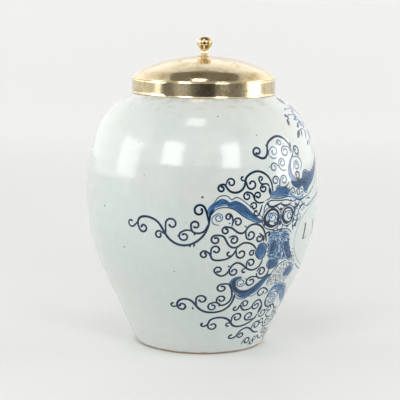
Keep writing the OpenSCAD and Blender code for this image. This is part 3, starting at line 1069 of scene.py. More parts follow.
SCROLLS = {
    "belly_scroll": [
        (1.7, [(-28.2, 135.7, 4.2, 1), (-31, 139), (-30, 144), (-27.5, 146), (-24, 145.5), (-20.5, 142),
            (-18, 135), (-16, 129), (-12.5, 123.5), (-8, 121.5), (-4.5, 123), (-0.5, 128), (2.5, 136),
            (3.6, 144), (4.2, 151), (6, 156)]),
        (1.3, [(-31, 141), (-34.7, 139.2, 4, -0.8)]),
        (1.4, [(-16.6, 131), (-13.9, 141, 5.3, -1)]),
        (1.4, [(-17.4, 131), (-20.1, 130.3, 3.6, 1.05)]),
        (1.6, [(3.4, 143), (-0.9, 154, 5.4, 1.15)]),
        (1.5, [(3.2, 142), (1.5, 135.5), (-1.8, 133.2), (-4.2, 135.3), (-2.7, 140.5, 4, -1)]),
        (1.4, [(-4, 134.8), (-6.3, 136), (-8, 130.2, 4.6, 1.15)]),
    ],
    "arch_curls": [
        (1.6, [(9.1, 173.8, 3.2, 1.1), (10, 177.4), (12, 173.2), (15.2, 170), (18.6, 172), (20.3, 177.5),
            (20.8, 182), (23, 186.2), (26.6, 188.3), (30.5, 186.3), (33.3, 181.5), (34.7, 175), (35, 169)]),
        (1.3, [(11, 176), (13.5, 178.9, 3.8, -1.1)]),
        (1.2, [(21, 180), (19.3, 182.6, 1.9, -0.6)]),
        (1.4, [(20.8, 181), (23.7, 177, 4.7, 1)]),
        (1.3, [(33.4, 172), (31.8, 176.6), (29, 176.8), (27.6, 180), (28.6, 181.4, 2.2, -0.9)]),
        (1.3, [(31, 177), (29.9, 172.6, 3.4, 1.2)]),
        (1.3, [(30.5, 160.8), (27.5, 160), (25.3, 163), (23.9, 168.3), (21.4, 166.5, 3.7, 1.2)]),
        (1.3, [(25.3, 163.3), (26.8, 166.6, 3.2, -1.05)]),
        (1.2, [(22.9, 156), (24.8, 157.2, 3.4, -1.1)]),
        (1.3, [(29.2, 158.5), (28.2, 151.6), (26.3, 151.2, 3.2, -0.8)]),
    ],
    "crest": [
        (1.7, [(27.8, 206, 4.2, -1.15), (31.5, 199.8), (33.6, 205), (34.2, 211.5), (37.5, 216.8), (42, 219),
            (46.5, 216.2), (49.3, 210), (50.2, 202)]),
        (1.3, [(51, 200.5), (54.4, 203.7, 4.6, -1.2)]),
        (1.5, [(50.6, 199.5), (48.3, 194.5), (47.6, 188), (48.7, 181.5), (52.8, 177.4), (56, 177.6)]),
        (1.3, [(50.2, 178.8), (52.4, 181, 3.8, -1.2)]),
    ],
    "first_row": [
        (1.3, [(14.2, 139), (14.7, 145), (12.6, 148.2, 3, 1.2)]),
        (1.3, [(14.4, 141), (17, 143.3, 3.9, -1.15)]),
        (1.5, [(11.5, 135.7, 3.5, 1.15), (14.5, 137.8), (17.8, 133.3), (20.4, 133.3), (22.5, 138.3),
            (26.2, 140.7), (30, 137), (32, 130.5), (33.2, 123)]),
        (1.2, [(22, 137.8), (20.3, 139.9)]),
        (1.4, [(21.5, 135.5), (24, 130.8, 4.6, 1.15)]),
        (1.4, [(28.2, 132), (28.9, 127, 3.7, -1.15)]),
        (1.5, [(31.3, 130), (31.6, 123)]),
        (1.2, [(32.6, 128.5), (33.8, 130, 2.4, -0.9)]),
    ],
    "second_row": [
        (1.5, [(6.9, 127.3, 4.2, 1.2), (10.3, 130.5), (12.3, 125), (14.7, 120), (17.5, 119.8), (20, 122.9),
            (23.2, 123.3), (26.3, 120.3), (28.2, 116)]),
        (1.4, [(13, 129), (15.6, 126.7, 3.9, -1.15)]),
        (1.5, [(1.6, 113, 3.6, 1.15), (4.2, 113.8), (5.7, 108.7), (9.5, 107.4), (13.5, 109.2), (16.4, 114),
            (17.7, 119.5)]),
        (1.3, [(15.2, 111.8), (13.9, 113.8, 2.4, -0.6)]),
        (1.4, [(5, 110), (7.2, 117.3, 4.2, -1)]),
        (1.4, [(17.2, 118.5), (20, 113.2, 4.6, 1)]),
        (1.3, [(27.8, 115), (25.9, 113, 2.7, 1)]),
    ],
    "third_row": [
        (1.5, [(9, 97.3, 3.8, -1.1), (10.5, 91.3), (13.3, 93), (15.3, 99.5), (18.2, 104.2), (21.5, 102),
            (24.3, 97.8), (28.3, 95.9), (31.5, 99.5), (32.6, 106.5)]),
        (1.4, [(15, 99), (17.2, 95.3, 3.9, 1.1)]),
        (1.3, [(24, 98), (22.9, 95.3, 2.2, 0.7)]),
        (1.4, [(24.2, 98.6), (26, 103.2, 4.1, -1.15)]),
        (1.4, [(30.6, 92.8), (33.5, 93.2, 4.3, -1.15)]),
        (1.4, [(30.5, 92.5), (32, 87.4), (35, 86.1), (38, 90), (38.1, 96)]),
        (1.4, [(31.8, 87.8), (28.3, 83.3, 5.2, 1.2)]),
    ],
    "flank_scroll": [
        (1.8, [(-11, 57.2, 4.3, 1.1), (-13.7, 60), (-10.8, 64.8), (-7.3, 65.2), (-4, 61.8), (-1.5, 56.3),
            (2.5, 51.6), (8, 50.2), (13.5, 51.8), (17.8, 56.6), (19.8, 63.5), (20.2, 71)]),
        (1.4, [(-13.8, 60), (-14.4, 56.8), (-16.4, 58.3, 2.5, -0.7)]),
        (1.5, [(-2, 57), (0.9, 65.2, 4.9, -1.05)]),
        (1.5, [(12, 78, 4.4, 1.15), (15.5, 82), (17.9, 74.5), (18.5, 66), (16.3, 60), (12.5, 58.6),
            (10, 61.6), (7.6, 56.8, 4.4, 1.1)]),
        (1.4, [(10.4, 60), (12.4, 65.2, 4.1, -1.1)]),
    ],
    "low_scrolls": [
        (1.7, [(2.3, 36, 2.2, -0.6), (4.7, 34.8), (6.8, 40.5), (11.5, 43.8), (16.5, 43.1), (20.5, 39.4),
            (23.5, 34), (28.5, 31.6), (34.5, 33.3), (39.8, 37.8), (42.6, 44)]),
        (1.4, [(6, 38.5), (9, 34.3, 4.4, 1)]),
        (1.4, [(22.2, 37), (25.4, 42.7, 4.9, -1.15)]),
        (1.3, [(23, 35.8), (20, 34.6, 2.4, 0.75)]),
        (1.5, [(22.7, 53.6, 2.6, -0.8), (25.5, 56.5), (27.8, 52), (31, 50.7), (34.4, 53), (35.6, 58),
            (38.3, 60.5), (41.3, 57.4), (43.2, 52.5)]),
        (1.3, [(25.8, 56), (28.5, 57.9, 3.8, -1.15)]),
        (1.3, [(35.2, 57.5), (37.8, 54, 4, 1.05)]),
        (1.4, [(42, 38.8), (37.5, 38.2), (34.8, 42.8, 4.8, -1.1)]),
        (1.3, [(41, 66.2), (43.2, 69), (38.4, 69.2, 5.3, 1)]),
        (1.5, [(24.6, 20.4, 2.5, -0.7), (28, 18.8), (31, 24.8), (36, 28.6), (41, 26), (46, 21.5),
            (52, 20.4)]),
        (1.3, [(30, 22), (32.9, 20.9, 3.3, 1.05)]),
        (1.4, [(41.8, 25.5), (45.5, 29.6, 4.8, -1.1)]),
        (1.3, [(43.3, 42.5), (46.8, 43.8, 4.5, 1.05)]),
        (1.3, [(37, 8), (41.5, 11.8, 4, -1.1)]),
        (1.4, [(44.6, 62), (46, 53.5), (49.7, 50), (54, 51.2), (58, 48), (62, 43)]),
    ],
}

# Fields and details by motif, drawn once on each side. Washes are (depth, left edge, right edge), lines and leaves
# are (width, depth, items), rings are (angle, run, radius, width, depth), dabs are (angle, run, radius, depth, height
# over width), and scribbles are (outline, spacing, width, depth).
MOTIFS = {
    "blue_arch": {
        "washes": [
            (0.52, [(2.8, 150), (3.6, 156.6), (6.2, 161.6), (9.2, 164.9), (11.4, 163.8), (13, 161.6)],
                [(4.8, 150), (6.1, 155), (8.2, 157.2), (10.3, 158), (12, 157.8), (13.4, 156.6)]),
            (0.58, [(11.6, 161.6), (13.4, 162), (15, 163), (18, 161.5), (21, 157.5), (24, 152), (28, 146),
                (30.4, 143.6)], [(12, 156.8), (13.5, 156), (15, 155), (18, 151), (21, 147), (25, 143.5),
                (28, 142), (30, 142.6)]),
        ],
        "lines": [
            (0.9, 0.9, [(4.6, 150), (6.3, 154.4), (9, 156.6), (12, 156.7), (15, 155), (18, 151), (21, 147),
                (25, 143.3), (28.5, 141.8), (30.5, 143.5)]),
            (0.8, 0.75, [(2.8, 149), (3.4, 156.6), (6, 161.8), (7.4, 165.6), (10, 167.5), (12.5, 166),
                (13.8, 163.8), (15.5, 165.4), (18.5, 163.8), (21.5, 159.5), (24.5, 154.5), (28, 149),
                (30.4, 144.6)]),
            (0.8, 0.9, [(10, 163.6), (11.6, 161.4), (14.3, 159.4), (16.8, 159.3)]),
            (0.7, 0.8, [(15.5, 162.6), (19, 157.5), (22.5, 151.5), (26, 146.6)]),
            (0.9, 0.55, [(8.6, 141), (5.6, 142.2), (4.9, 147), (7.9, 147.5, 3.9, -1.5)]),
        ],
        "dabs": [
            (13.2, 142.3, 0.9, 0.9, 1), (30.6, 143.6, 1.2, 0.95, 1),
        ],
    },
    "low_crescent": {
        "washes": [
            (0.84, [(22.2, 87.2), (20, 86.3), (19.3, 83), (19.8, 79), (21.3, 75.9), (24, 73.7),
                (28.4, 74.4)], [(22.7, 89.3), (19, 88.9), (16.9, 86.4), (16.1, 82), (16.9, 78.2),
                (18.8, 74.5), (21.5, 70.8), (25.5, 69.4), (29, 71.6)]),
            (0.6, [(23.2, 72), (26, 73.2), (28.5, 75.2), (30.5, 77.2), (33, 81), (35.5, 85.6), (37.2, 88.4),
                (39.6, 90)], [(21.2, 69), (24.4, 65), (27.6, 65), (30.6, 67.6), (33.4, 70), (36.2, 74.8),
                (38, 80), (39.6, 84.8), (41, 87.6)]),
        ],
        "lines": [
            (0.8, 0.9, [(22.4, 89.4), (19, 89.2), (16.8, 86.6), (15.9, 82), (16.7, 78), (18.6, 74.2),
                (21, 70.4), (24.4, 66)]),
            (0.8, 0.75, [(20.8, 69), (22.2, 65.6), (25, 64), (27.6, 64.6), (29.3, 66.8), (31.5, 66.4),
                (34, 68.5), (36.3, 73)]),
            (0.8, 0.9, [(22.2, 87), (20.2, 86), (19.5, 83), (20, 79), (21.5, 76), (24, 74), (28, 74.4),
                (30.5, 76.8), (33, 80.4), (35.5, 85), (37, 87.8), (39.6, 89.4)]),
            (0.8, 0.92, [(25, 69.2), (27, 67.6), (29, 69.8), (30.6, 71.8), (32, 74.2), (34.4, 75.6)]),
            (0.8, 0.9, [(31, 72), (33.4, 76.5), (35.8, 81.6), (38, 86)]),
            (0.9, 0.6, [(24, 88.4), (25.6, 84), (22.5, 82.8, 4.4, -1.35)]),
        ],
        "dabs": [
            (24.3, 67.6, 1.6, 0.9, 0.8), (40.2, 88.6, 1.1, 0.95, 1),
        ],
    },
    "crest_filling": {
        "lines": [
            (1, 0.62, [(34.3, 201), (34.4, 205), (37.6, 205.2, 4.4, -1.05)]),
            (1, 0.6, [(34.6, 201.6), (36.7, 198.9), (39.4, 200)]),
            (1, 0.66, [(39.9, 210.6), (42.2, 212.6, 2.8, -1.15)]),
            (1.4, 0.8, [(48.9, 201), (48.6, 207.5), (45.3, 204.4, 4.8, 1.3)]),
            (1.1, 0.75, [(44.8, 187.7), (41.7, 187.7), (39.7, 191), (36.6, 190.9, 3.9, 1.15)]),
            (1.1, 0.72, [(40, 190), (42, 194.4, 4.1, -1.35)]),
            (1.3, 0.85, [(39.2, 172.5), (39.2, 178), (37, 179, 3.9, 1.25)]),
            (1.3, 0.85, [(39.4, 174), (42.1, 179, 4.1, -1.3)]),
            (1.1, 0.8, [(40.8, 172.8), (43.3, 172.6), (46, 177.6)]),
            (1, 0.66, [(50.2, 198.4), (54.2, 198.2), (56.8, 194.6), (57, 189.5), (55.4, 185.6)]),
            (1, 0.66, [(49.8, 185.8), (52.3, 190.3, 4.3, -1.5)]),
        ],
        "dabs": [
            (45.2, 211.3, 0.9, 0.9, 1), (33.9, 191.6, 0.8, 0.8, 1), (33.7, 211, 1.3, 0.95, 1),
            (56.4, 204.6, 1.3, 0.85, 1.6), (55.6, 199.4, 1.2, 0.85, 0.8),
        ],
    },
    "crest_crescent": {
        "washes": [
            (0.5, [(50, 201), (47.2, 195.5), (45.5, 188.5), (45.7, 182), (47.2, 178), (49.6, 174.5)],
                [(50.6, 198), (48.6, 193.5), (47.9, 188), (48.6, 182), (50.6, 178.8), (53.4, 177)]),
            (0.74, [(46.8, 178.6), (50, 178.4), (53, 177.2), (57, 178), (60.5, 176.5)], [(47.8, 174),
                (50, 171.3), (53, 170.2), (56.4, 171.2), (60, 171.5)]),
            (0.64, [(56, 178.4), (57.4, 183.2), (60.5, 184.6), (63, 182.6), (66, 182), (70, 184),
                (75, 188.4), (81, 194)], [(56, 172), (57.4, 167), (59, 164.4), (61.2, 165), (63.2, 168),
                (66, 170.6), (70, 175), (74.5, 180.6), (80, 189)]),
            (0.8, [(57.4, 169.6), (59.6, 170.4), (62, 168.8)], [(57.8, 166.4), (59.4, 164.7), (61.4, 166)]),
        ],
        "lines": [
            (0.9, 0.9, [(47, 178.8), (47.4, 175.4), (49.8, 171.6), (53, 170), (56.6, 171.4)]),
            (0.7, 0.85, [(49, 176.4), (52.5, 174.2), (56.5, 174.6), (61, 176.8), (67, 179.2)]),
            (0.7, 0.85, [(50, 173.6), (54, 172.6), (58, 173.2), (63, 174)]),
            (0.8, 0.7, [(57, 178.6), (57.6, 183.4), (60.6, 185), (63.4, 182.8), (66, 182.4), (70, 184.6),
                (75, 189), (81, 194.8)]),
            (0.9, 0.65, [(46.2, 167.4), (48.6, 162.6), (54.5, 159.4), (60, 160.6), (66, 164.5), (71, 170.5),
                (76, 178.6), (81, 188)]),
            (0.8, 0.6, [(49.5, 171.3), (54.5, 168.8), (57.5, 166.2), (59.6, 163.6), (62, 165)]),
            (1, 0.8, [(46, 172.5), (45.7, 168), (48.2, 167.8, 2.9, -0.95)]),
            (1, 0.8, [(49.3, 163.5), (52.4, 165.7, 3.1, -1.1)]),
            (0.9, 0.7, [(53.5, 162), (56, 163.4, 2.2, -1)]),
        ],
        "dabs": [
            (50.4, 199.6, 1.6, 0.9, 1.4), (50.3, 209.5, 1.5, 0.7, 2.2),
        ],
    },
    "shell_collar": {
        "washes": [
            (0.55, [(33.8, 171), (35.2, 169.5), (36.8, 170.8), (38, 173.5), (40, 172.7), (42, 171.6),
                (44.5, 170.4), (45.8, 168.2)], [(34, 164), (36.5, 163.4), (40, 163), (43, 163),
                (45.6, 164.4)]),
            (0.26, [(45.8, 172), (46.4, 168), (48.6, 164), (52, 162), (56, 162)], [(44.8, 166), (47, 161.4),
                (50.4, 159.6), (54, 158.8), (58, 160)]),
        ],
        "lines": [
            (0.9, 0.95, [(33.6, 163.6), (37, 162.9), (41, 162.6), (45, 163.2), (47.4, 162)]),
            (1, 0.95, [(30.3, 149), (30.7, 156), (32.3, 160), (35, 161.3), (40, 160.6), (45, 160),
                (48, 158.4), (51, 159.4), (54.4, 158.4), (58.4, 160.2)]),
            (0.9, 0.8, [(33.2, 172), (33.6, 164), (30.6, 161.6)]),
            (0.9, 0.85, [(36.6, 171.2), (38, 174), (40, 173.2), (42, 172), (44.6, 170.8), (46, 168.6)]),
        ] + [(0.6, 0.78, [(g, 171 - 0.2 * (g - 37)), (g + 0.5, 164.4)])
             for g in (35.6, 37.2, 38.7, 40.1, 41.6, 43, 44.3)],
        "dabs": [
            (33.4, 170, 1.6, 0.95, 2.4), (32.4, 158.4, 1.5, 0.97, 0.8), (46.8, 159.6, 1.4, 0.97, 0.6),
        ],
    },
    "roundels": {
        "rings": [
            (35.2, 145, 8, 2.3, 1), (35.2, 145, 10.9, 0.9, 0.85), (45.2, 145.9, 7.2, 1.9, 1),
            (45.2, 145.9, 9.7, 0.9, 0.85), (51.6, 157, 3.1, 0.8, 0.85), (54.6, 155, 2.6, 0.7, 0.75),
            (51.4, 147.6, 3.4, 0.8, 0.6), (53.8, 142.4, 3, 0.8, 0.55), (51, 137.4, 3, 0.8, 0.75),
            (56.8, 150.8, 2.6, 0.7, 0.55), (40.4, 136.6, 3.4, 0.9, 0.85),
        ],
        "leaves": [
            (3.4, 1, [(31.4, 150), (30.9, 144), (33.2, 138.8), (37.4, 137.4)]),
            (2.8, 1, [(42.5, 150), (41.6, 145.4), (43.3, 141), (46.6, 139.6)]),
            (2.2, 0.9, [(31.6, 158.6), (34.4, 155.4), (38, 156.6), (41.4, 159)]),
            (2, 0.9, [(39.6, 157.8), (43.6, 155.2), (47.6, 157.6)]),
            (2.4, 0.97, [(48.4, 145), (50.4, 150.4), (50, 154.8)]),
            (2, 0.97, [(50.2, 134.4), (52.6, 138.8), (53.2, 144.6)]),
            (1.8, 0.9, [(53.4, 148.6), (55.8, 152.8), (59.4, 154.2)]),
        ],
        "lines": [
            (1, 0.55, [(37.6, 140.2), (38.6, 146), (35.6, 145.4, 4.4, 1.5)]),
            (0.9, 0.6, [(32.6, 143), (34.2, 147.4, 2.6, -1.1)]),
            (1, 0.6, [(42.8, 142.6), (43, 148.6), (46.3, 146, 4, -1.4)]),
            (1.6, 0.97, [(49.4, 151.2), (51.6, 152.6), (53.8, 156.4)]),
            (1.4, 0.97, [(52.6, 151.4), (51.9, 154.4), (50.2, 156)]),
            (1.3, 0.95, [(49.4, 138), (49.8, 134), (50.6, 130.6)]),
            (1, 0.9, [(33.4, 135.4), (38, 132.9), (43, 133.4), (47.4, 131.6), (49.6, 128)]),
            (0.8, 0.75, [(33.8, 133), (38, 130.9), (43, 131.4), (46.8, 129.8)]),
            (1.1, 0.8, [(60, 157.6), (62.4, 158.6), (65, 157)]),
            (0.9, 0.6, [(58, 156), (59.4, 152.2), (62, 151.6), (63.4, 155)]),
        ],
        "dabs": [
            (40.3, 139.6, 1.8, 1, 1.5), (40.4, 152.6, 1.9, 1, 0.8), (31.2, 140.4, 1.5, 0.97, 1.8),
            (49.6, 140.6, 1.6, 0.97, 1.3), (49.4, 152.4, 1.3, 0.97, 1), (41, 132.4, 1.4, 0.97, 0.9),
            (45.6, 135.6, 1.7, 1, 0.8), (33.2, 142, 1.6, 0.95, 1.4), (38.4, 144, 1.3, 0.97, 2.2),
            (37, 140.4, 1.6, 0.95, 0.7), (47.8, 143.4, 1.1, 0.95, 1.8), (43.4, 149.4, 1.3, 0.9, 0.8),
            (53.4, 147.6, 0.9, 0.95, 1.3), (55.4, 141.6, 0.9, 0.9, 1.2), (52.4, 134.4, 1, 0.9, 1),
            (56.6, 155.6, 1.1, 0.95, 0.8), (58.6, 149.8, 0.9, 0.8, 1.4),
        ],
    },
    "shell_body": {
        "scribbles": [
            ([(36, 104), (35, 112), (34.2, 122), (34, 132), (47, 131.6), (49, 124), (50.4, 113), (52.6, 106),
                (55, 101.4), (44.6, 101), (41, 106)], 2.8, 0.95, 0.95),
            ([(50.4, 101), (56.4, 92), (60.6, 94), (57, 104), (53.4, 112)], 2.6, 0.8, 0.8),
        ],
        "washes": [
            (0.16, [(36, 104), (35.2, 110), (34.5, 118), (33.9, 126), (34.3, 132)], [(55, 101), (52.4, 106),
                (50.3, 113), (49.2, 120), (48.6, 127), (46.6, 131.8)]),
            (0.56, [(29.4, 108.2), (27.8, 112), (28, 117), (29.3, 120.8), (31, 121.6)], [(32, 106.6),
                (33.3, 109), (33.7, 113.4), (33.3, 118), (32.2, 121.3)]),
            (0.6, [(36.4, 109.4), (36, 114), (36.2, 120), (37.6, 124.6)], [(39.6, 109.6), (40.4, 114),
                (40.3, 120), (38.8, 124.8)]),
            (0.62, [(37, 104.4), (36.3, 101), (36.9, 97.4), (38.6, 95.4)], [(40, 105.4), (42.2, 103.4),
                (43.8, 100), (41.5, 96)]),
            (0.64, [(44.8, 121), (45.2, 116), (46.6, 110.6), (49.4, 104.4), (51.4, 101.4)][::-1],
                [(48, 121.4), (49.2, 117.4), (50.6, 112), (53.2, 106), (55, 102)][::-1]),
        ],
        "lines": [
            (1, 0.95, [(28.4, 120), (30.4, 122), (32.4, 121.4), (33.6, 117.6), (33.8, 113), (33.2, 108.6),
                (31.6, 106.4), (29.4, 108), (28, 111.6), (27.6, 115.6)]),
            (0.9, 0.9, [(37.2, 105), (36, 101), (36.8, 97), (39, 95), (41.8, 96), (44, 100), (42.4, 104),
                (39.6, 105.8)]),
            (0.7, 0.85, [(37.6, 125.6), (36, 121), (35.7, 115), (36.3, 109.4), (38, 107.4), (40, 109.6),
                (40.9, 115), (40.6, 121), (39, 125.6)]),
            (0.9, 0.85, [(44.6, 122.6), (44.5, 116.5), (46, 110), (49, 103.6)]),
            (0.9, 0.8, [(48.2, 123), (49.6, 116.6), (51.6, 110), (55.6, 101.6)]),
            (0.8, 0.7, [(34.8, 126.6), (37.6, 128.4), (41.4, 127.2), (44.6, 129), (48, 126.4)]),
            (0.7, 0.65, [(41.8, 124), (41.2, 118), (41.6, 112), (43, 107)]),
            (0.7, 0.65, [(43.2, 125), (42.8, 118), (43.4, 112), (45, 107)]),
            (0.8, 0.75, [(45, 130), (44.3, 127, 2.3, 1.1)]),
            (0.8, 0.75, [(40, 106.6), (42.6, 108.4, 2.2, -1.2)]),
            (0.8, 0.8, [(35.2, 124), (34.4, 119.6, 1.8, 1)]),
        ] + [(0.55, 0.8, [(g, 122.5 - abs(g - 38.2) * 1.2), (g + 0.15, 111.5 + abs(g - 38.2))])
             for g in (37, 37.8, 38.6, 39.4)]
          + [(0.55, 0.82, [(g, 119.5), (g + 1.4, 112), (g + 4, 104.6)]) for g in (46, 47.2, 48.2)],
        "dabs": [
            (34.7, 119.6, 1.1, 0.97, 1), (42.8, 108.3, 1.3, 0.97, 1), (45.4, 126.8, 1, 0.95, 1),
            (46.6, 106, 1.5, 0.9, 1), (51.5, 104.4, 1.8, 0.85, 1.4), (36.4, 107.6, 1, 0.9, 1),
            (34.9, 113, 0.8, 0.9, 1), (35.2, 109, 0.8, 0.85, 1),
        ],
    },
    "leaf_base": {
        "scribbles": [
            ([(40.6, 76), (40.6, 82), (41.4, 89), (43.6, 95), (47.5, 99), (53, 100), (57.6, 95), (58.6, 88),
                (58, 80), (55.6, 74.6), (47, 75.4)], 2.3, 0.85, 0.9),
            ([(45.6, 64), (48.6, 67), (52.6, 64), (56, 58), (53.4, 50.6), (48, 50.6), (45.4, 55)],
                2.6, 0.7, 0.75),
        ],
        "washes": [
            (0.5, [(52, 84), (51.8, 88), (53.4, 92), (55.8, 94.4)], [(57.4, 82), (60.2, 84.4), (60.4, 88.4),
                (58.6, 92.4)]),
            (0.5, [(47.4, 75.6), (52, 75), (57, 73), (62, 68), (67, 60), (71.5, 53)], [(46.4, 69),
                (49.4, 70.4), (52.4, 68), (55.4, 65.4), (58.4, 61.6), (61.4, 56.8), (66, 51.6), (70, 48)]),
            (0.42, [(44.2, 60), (44, 65), (45, 71), (47, 75)], [(46, 60), (46.4, 65), (47.6, 69),
                (49.6, 71)]),
        ],
        "lines": [
            (1, 0.85, [(40.4, 76), (40.2, 82), (41, 89), (43.2, 95.4), (47, 99.6), (51, 100.6)]),
            (0.8, 0.7, [(51.8, 83), (51.4, 88), (53, 92.6), (56, 95), (59.4, 93), (61, 88.4), (60, 84)]),
            (0.8, 0.75, [(47, 76.2), (52, 75.8), (57.2, 73.8), (62.4, 68.8), (67.6, 60.6), (72, 53)]),
            (0.8, 0.75, [(46, 68.4), (49.4, 70), (52.6, 67.4), (58.6, 61), (61.6, 56.2), (66, 51),
                (70.4, 47)]),
            (0.8, 0.6, [(45.6, 62), (48, 63.4), (50.2, 58.6, 5.4, -1.4)]),
            (0.8, 0.6, [(55.6, 66), (58, 61), (61, 56), (60, 52)]),
        ],
        "rings": [
            (50.2, 58.4, 8.6, 1.1, 0.75),
        ],
        "leaves": [
            (3.6, 1, [(42.8, 54.5), (42.8, 49), (42.2, 43)]),
        ],
    },
    "foot_curls": {
        "lines": [
            (1.3, 0.9, [(52.4, 46.4, 3.6, 1.1), (52, 41), (55, 36.8), (60, 36), (65, 38.5), (69, 43),
                (72, 49)]),
            (1.2, 0.9, [(56, 36.4), (57.6, 31.6, 3.7, 1.1)]),
            (1.2, 0.9, [(61, 36.2), (63, 41.8, 3.8, -1.15)]),
            (1.2, 0.9, [(66.5, 40), (68.4, 35.4, 3.4, 1.1)]),
            (1.3, 0.9, [(49.8, 34.2, 3.2, -0.9), (52, 31.6), (54, 27.4), (58.5, 25), (64, 26), (69, 29.5),
                (73.5, 35.5)]),
            (1.2, 0.9, [(57, 25.4), (59.6, 20.2, 3.6, 1.1)]),
            (1.2, 0.9, [(63, 25.8), (65.6, 31, 3.4, -1.1)]),
            (1.3, 0.9, [(50.5, 13.4, 3, -0.9), (53, 15.4), (56.6, 11.8), (63, 11.6), (69, 15.4), (74, 22)]),
            (1.2, 0.9, [(62, 11.5), (64.8, 17, 3.6, -1.1)]),
            (1.2, 0.9, [(67, 13.6), (70.6, 9.4, 3.3, 1.1)]),
            (1.2, 0.9, [(45.5, 5.4), (48.6, 8, 3, -1.1)]),
            (1.2, 0.9, [(71, 17.6), (74, 12.6, 3.4, 1)]),
        ],
        "dabs": [
            (4.8, 57.3, 0.9, 0.9, 1), (6.5, 40.8, 0.8, 0.9, 1), (14.3, 101, 1.1, 0.95, 1),
            (-10.8, 130.3, 0.9, 0.95, 1),
        ],
        "leaves": [
            (1.8, 0.95, [(-2.6, 134), (-3.4, 131)]), (1.5, 0.95, [(-4.9, 122.6), (-5.4, 119.6)]),
            (1.5, 0.95, [(-2.9, 123.6), (-3.5, 119.8)]), (1.4, 0.95, [(-4.4, 56.6), (-4.3, 53)]),
            (1.3, 0.95, [(11.8, 59), (11.7, 56.4)]),
        ],
    },
    "panel_border": {
        "lines": [
            (1.2, 0.7, [(98, 163), (88, 162.2), (78, 159.6), (69, 155.6), (62, 150.6)]),
            (1.2, 0.7, [(61, 94.6), (67.4, 88.4), (76.6, 83.6), (87, 80.9), (98, 80)]),
            (0.6, 0.4, [(98, 159.6), (88, 158.8), (78.6, 156.3), (70, 152.6), (62.8, 147.4), (57.2, 141),
                (54.4, 133), (53.4, 122), (55, 112), (58, 104.6), (62.4, 98), (69, 92), (77.6, 87.2),
                (87.6, 84.3), (98, 83.4)]),
        ],
    },
    "posy": {
        "lines": [
            (0.9, 0.8, [(94, 204), (85, 211.6), (76, 219), (68, 222.6), (61, 218.4)]),
            (0.9, 0.8, [(95, 207), (87, 222), (78, 232), (68, 238.4), (61, 238), (56.6, 231)]),
            (0.9, 0.8, [(96, 210), (91, 228), (84, 241), (76, 250), (70, 255)]),
            (0.8, 0.8, [(84, 226), (77, 228.6), (70, 229.4), (65, 226)]),
            (0.8, 0.8, [(88, 216), (80, 213.4), (73.5, 209.6)]),
            (0.8, 0.8, [(80, 245.4), (72, 245.4), (65.6, 245.6)]),
        ],
        "leaves": [
            (3.6, 0.9, [(57.8, 234.6), (56.6, 231), (55.7, 227.4)]), (3, 0.85, [(60.4, 238.4), (58.6, 238.6),
            (56.8, 237)]), (2.6, 0.9, [(60, 237.6), (58.8, 234)]), (4.4, 0.9, [(64.4, 221.4), (62, 218.6),
            (59.4, 214.8)]), (3, 0.75, [(68, 222.4), (66.4, 219), (65.4, 214.8)]), (3.2, 0.8, [(68.4, 229.4),
            (66.4, 226.6), (63.6, 225)]), (4, 0.6, [(72, 236.6), (69, 233.8), (65, 233)]),
            (4, 0.6, [(74, 234.4), (72, 238.8), (71.6, 243.6)]), (3.4, 0.7, [(74, 220.2), (72, 216.4),
            (70, 211.6)]), (4.2, 0.55, [(80, 229.6), (77, 225), (72.6, 223)]), (3.6, 0.6, [(86, 222.6),
            (83.4, 217.6), (79, 218.4)]), (3.4, 0.7, [(78, 247.6), (76, 243), (72.4, 241)]),
            (3, 0.8, [(74.4, 251.6), (73, 255.4), (70.4, 260)]), (3.4, 0.6, [(88.6, 233.4), (84.6, 233),
            (81.6, 237)]), (3, 0.75, [(73.5, 209.6), (71, 208.4), (69, 206)]), (3, 0.7, [(76, 211),
            (74.4, 207.4), (74.4, 203.4)]),
        ],
        "dabs": [
            (64, 245.4, 1.9, 0.62, 0.8), (66.2, 246.6, 1.2, 0.8, 0.8),
        ],
    },
}
FLOWERS = [          # angle, run, radius, petals
    (84.5, 243, 7.5, 7), (74, 256.5, 5.5, 6), (72.4, 228.6, 4.6, 5), (80.5, 214, 5.0, 6),
]
NUMERAL = "LXXVIII"
NUMERAL_RUN = 119           # where the numeral stands on the wall
NUMERAL_HEIGHT = 15
LETTER_GAP = 11.5
BROAD, FINE = 3.0, 1.1
LETTERS = {          # width, then strokes of a width, how many of their ends have feet, and places, in heights
    "I": (0.3, [(BROAD, 2, [(0.15, 0), (0.15, 1)])]),
    "V": (0.95, [(BROAD, 1, [(0.12, 1), (0.48, 0)]), (FINE, 0, [(0.48, 0), (0.84, 1)])]),
    "X": (0.95, [(BROAD, 2, [(0.12, 1), (0.83, 0)]), (FINE, 2, [(0.8, 1), (0.14, 0)])]),
    "L": (0.7, [(BROAD, 2, [(0.15, 0), (0.15, 1)]), (FINE, 0, [(0.15, 0.03), (0.5, 0.03), (0.66, 0.22)])]),
}
SPECKS = [           # angle, run and radius
    (-41, 114, 0.9), (0.3, 166, 1.3), (8.5, 241, 0.8), (29, 221, 0.7), (-13.5, 95, 0.7), (-28, 183, 0.5),
    (-34, 212, 0.5), (-7, 143, 0.5), (14, 262, 0.6), (-4, 197, 0.4), (-53, 150, 0.9), (257, 190, 0.8),
    (217, 90, 1.0), (172, 236, 0.6), (197, 175, 0.7), (-73, 70, 0.8), (272, 232, 0.6), (237, 140, 0.5),
]


